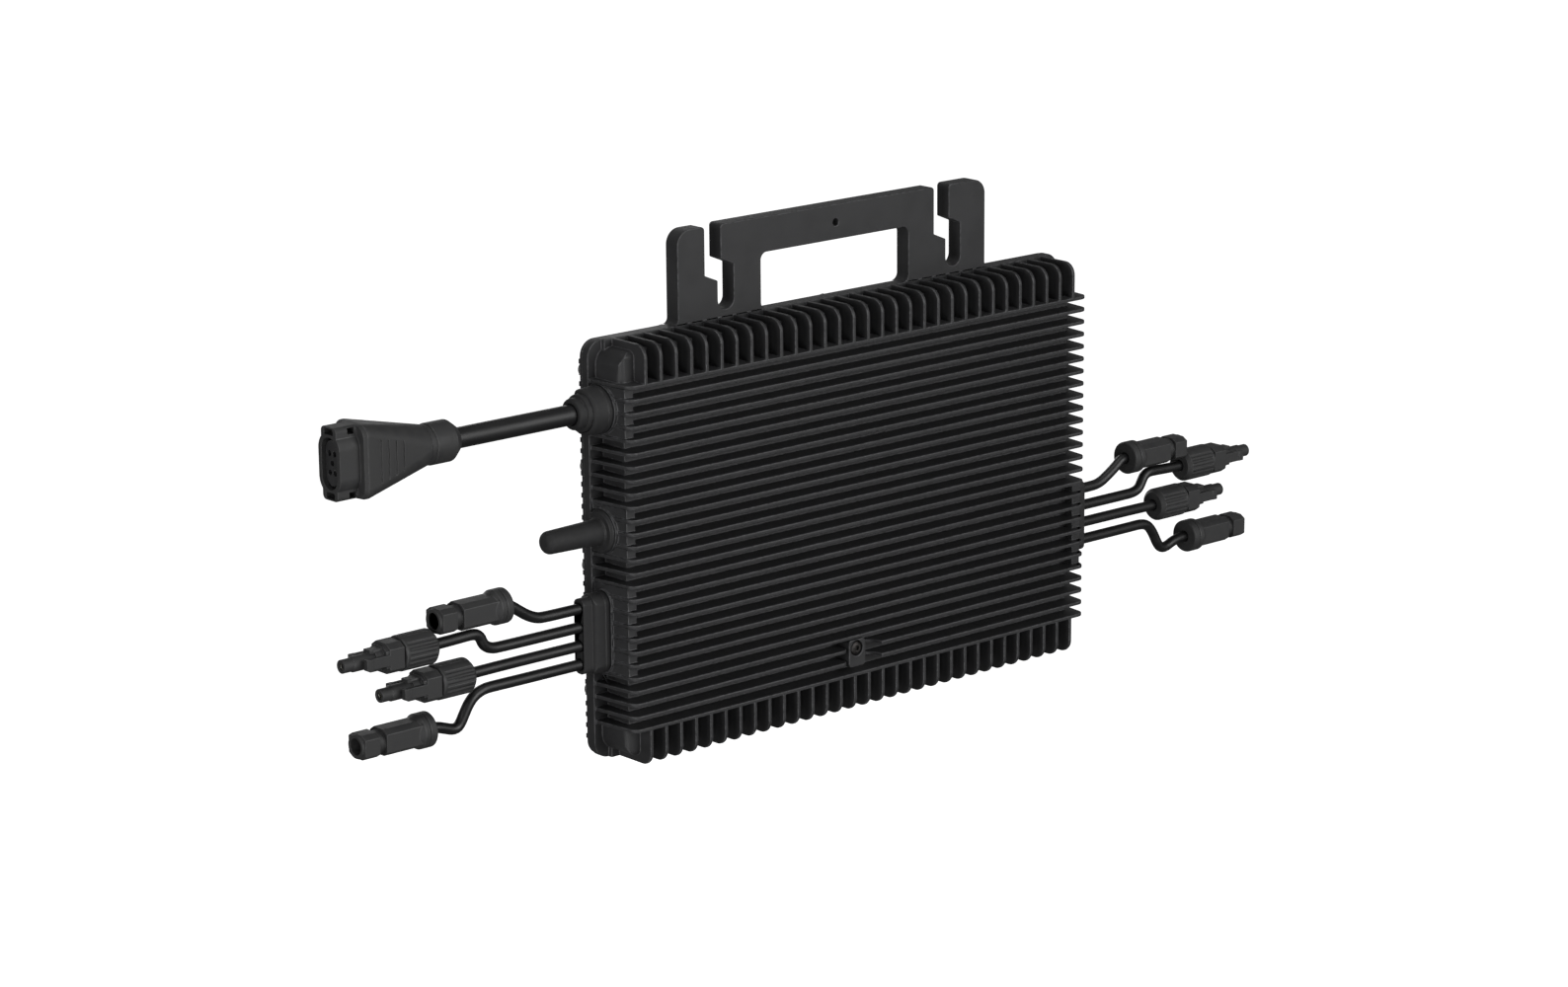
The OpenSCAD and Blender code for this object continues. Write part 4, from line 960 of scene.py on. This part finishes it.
@dataclass
class PowerBoard:
    """The circuit board with everything that stands on it, closed off in the housing.

    Attributes:
        winding_count: Number of transformers, one for each solar input.
        edge: Radius of the parts' edges.
    """

    winding_count: int = 4
    edge: Edge = Edge.TURNED

    def parts(self) -> dict[str, Finish]:
        """Lists the board's CAD nodes.

        Returns:
            The finish of each node.
        """
        numbers = range(1, self.winding_count + 1)
        windings = {f"transformer_winding_{number}": COPPER_WIRE for number in numbers}
        return {"main_board": SOLDER_RESIST, "board_screws": STAINLESS,
                "transformer_cores": FERRITE, **windings, "thermal_pads": GAP_PAD,
                "input_capacitors": DRAWN_CAN, "film_capacitor": FILM_CASE,
                "output_choke": COPPER_WIRE, "grid_relay": EPOXY_CASE,
                "power_transistors": EPOXY_CASE, "radio_module": SOLDER_RESIST}

    def build(self) -> None:
        """Makes the board and its parts."""
        for node, finish in self.parts().items():
            eased_copy(node, finish, self.edge)


@dataclass(frozen=True)
class SoftBox:
    """A square soft light.

    Attributes:
        name: Name of the light.
        place: Where it stands, as (x, y, z).
        size: Length of its sides.
        power: Its power in watts.
    """

    name: str
    place: tuple[float, float, float]
    size: float
    power: float

    def build(self, target: Vector) -> None:
        """Makes the light, facing a point.

        Args:
            target: The point that it faces.
        """
        data = bpy.data.lights.new(self.name, "AREA")
        data.shape, data.size, data.energy = "SQUARE", self.size, self.power
        light = new_object(self.name, data)
        light.location = self.place
        towards = target - Vector(self.place)
        light.rotation_euler = towards.to_track_quat("-Z", "Y").to_euler()


# A large light in front and one behind, and three smaller ones that fill the shade from above,
# from the left and from below
SOFT_BOXES = (
    SoftBox("front soft box", (0.9, -3.0, 0.7), 2.2, 71),
    SoftBox("top soft box", (-0.3, -0.3, 2.4), 1.8, 16),
    SoftBox("left soft box", (-2.9, -0.6, 0.25), 1.2, 30),
    SoftBox("low soft box", (-1.5, -1.7, -0.95), 0.9, 12),
    SoftBox("rear soft box", (0.9, 3.0, 0.2), 2.2, 34),
)


@dataclass
class Floor:
    """The plain white floor some way under the part, which hangs from its bracket.

    Attributes:
        drop: Height of the part's lowest point above the floor.
        half: Half the length of the floor's sides.
        colour: Colour of the floor.
        glow: Strength of the light that it gives off, which makes it plain white.
        roughness: Roughness of the floor.
    """

    drop: float = 1.1
    half: float = 60.0
    colour: str = "#f3f3f3"
    glow: float = 1.0
    roughness: float = 0.9

    def material(self) -> bpy.types.Material:
        """Makes the floor's matt white.

        Returns:
            The material.
        """
        made = bpy.data.materials.new("matt white studio floor")
        made.use_nodes = True
        shader = made.node_tree.nodes["Principled BSDF"]
        for name, value in {
            "Base Color": linear(self.colour), "Roughness": self.roughness,
            "Specular IOR Level": 0.0, "Emission Color": linear("#ffffff"),
            "Emission Strength": self.glow,
        }.items():
            shader.inputs[name].default_value = value
        return made

    def build(self) -> None:
        """Makes the floor, which no surface of the part mirrors or takes light from."""
        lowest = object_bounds()[0].z
        half, height = self.half, lowest - self.drop
        mesh = bpy.data.meshes.new("floor")
        mesh.from_pydata([(-half, -half, height), (half, -half, height), (half, half, height),
                          (-half, half, height)], [], [(0, 1, 2, 3)])
        mesh.materials.append(self.material())
        floor = new_object("floor", mesh)
        floor.visible_diffuse = False
        floor.visible_glossy = False
        floor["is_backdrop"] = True


@dataclass
class Studio:
    """The camera at the photograph's angle, soft light and a pale floor.

    Attributes:
        azimuth: Angle of the camera round the part, in degrees; zero looks along +Y.
        elevation: Angle of the camera above the horizon, in degrees.
        roll: Turn of the camera about its own axis, in degrees.
        distance: Distance of the camera from its target.
        target: The point that the camera looks at.
        focal_px: Focal length in pixels of the photograph.
        frame_px: Width of the photograph in pixels.
        axis_drop_px: Distance of the optical axis below the middle of the photograph, in pixels.
        sensor: Width of the camera's sensor in millimetres.
        nearest: Distance at which the camera begins to see.
        farthest: Distance at which it ceases to see.
        sky_colour: Colour of the light from all round.
        sky_strength: Strength of that light.
        floor: The floor.
    """

    azimuth: float = -41.091
    elevation: float = 15.362
    roll: float = -0.445
    distance: float = 2.2805
    target: Vector = field(default_factory=lambda: Vector((-0.05983, -0.035, -0.16354)))
    focal_px: float = 4457.5
    frame_px: float = 1588
    axis_drop_px: float = 62
    sensor: float = 36.0
    nearest: float = 0.05
    farthest: float = 100.0
    sky_colour: str = "#f6f6f6"
    sky_strength: float = 0.13
    floor: Floor = field(default_factory=Floor)

    def back(self) -> Vector:
        """Finds the direction from the target to the camera.

        Returns:
            The direction, one long.
        """
        azimuth, elevation = math.radians(self.azimuth), math.radians(self.elevation)
        return Vector((math.sin(azimuth) * math.cos(elevation),
                       -math.cos(azimuth) * math.cos(elevation), math.sin(elevation)))

    def build_camera(self) -> None:
        """Makes the camera."""
        data = bpy.data.cameras.new("photo camera")
        data.sensor_width = self.sensor
        data.lens = self.focal_px / self.frame_px * self.sensor
        data.shift_y = self.axis_drop_px / self.frame_px
        data.clip_start, data.clip_end = self.nearest, self.farthest
        camera = new_object("photo camera", data)
        back = self.back()
        right = (-back).cross(Z_AXIS).normalized()
        up = right.cross(-back)
        roll = math.radians(self.roll)
        across = math.cos(roll) * right + math.sin(roll) * up
        upward = math.cos(roll) * up - math.sin(roll) * right
        camera.matrix_world = Matrix.Translation(self.target + back * self.distance) @ Matrix(
            (across, upward, back)).transposed().to_4x4()
        bpy.context.scene.camera = camera

    def build(self) -> None:
        """Makes the lights, the world and the floor."""
        for soft_box in SOFT_BOXES:
            soft_box.build(self.target)
        world = bpy.data.worlds.new("studio")
        world.use_nodes = True
        background = world.node_tree.nodes["Background"]
        background.inputs["Color"].default_value = linear(self.sky_colour)
        background.inputs["Strength"].default_value = self.sky_strength
        bpy.context.scene.world = world
        bpy.context.scene.view_settings.view_transform = "Standard"
        self.floor.build()


def main() -> None:
    """Builds the whole scene in order."""
    logging.basicConfig(level=logging.INFO, format="%(message)s")
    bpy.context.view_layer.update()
    studio = Studio()
    studio.build_camera()
    assemblies = (
        MainsLead(),
        SolarLeads(Side.LEFT, LEFT_ROUTES, LEFT_LENGTHS),
        SolarLeads(Side.RIGHT, RIGHT_ROUTES, RIGHT_LENGTHS),
        DcContacts(), Casting(), RearClosure(), GroundPoint(), Antenna(), PowerBoard(),
    )
    for assembly in assemblies:
        assembly.build()
        log.info("%s: made", type(assembly).__name__)
    studio.build()
    log.info("%s: made", type(studio).__name__)


if __name__ == "__main__":
    main()
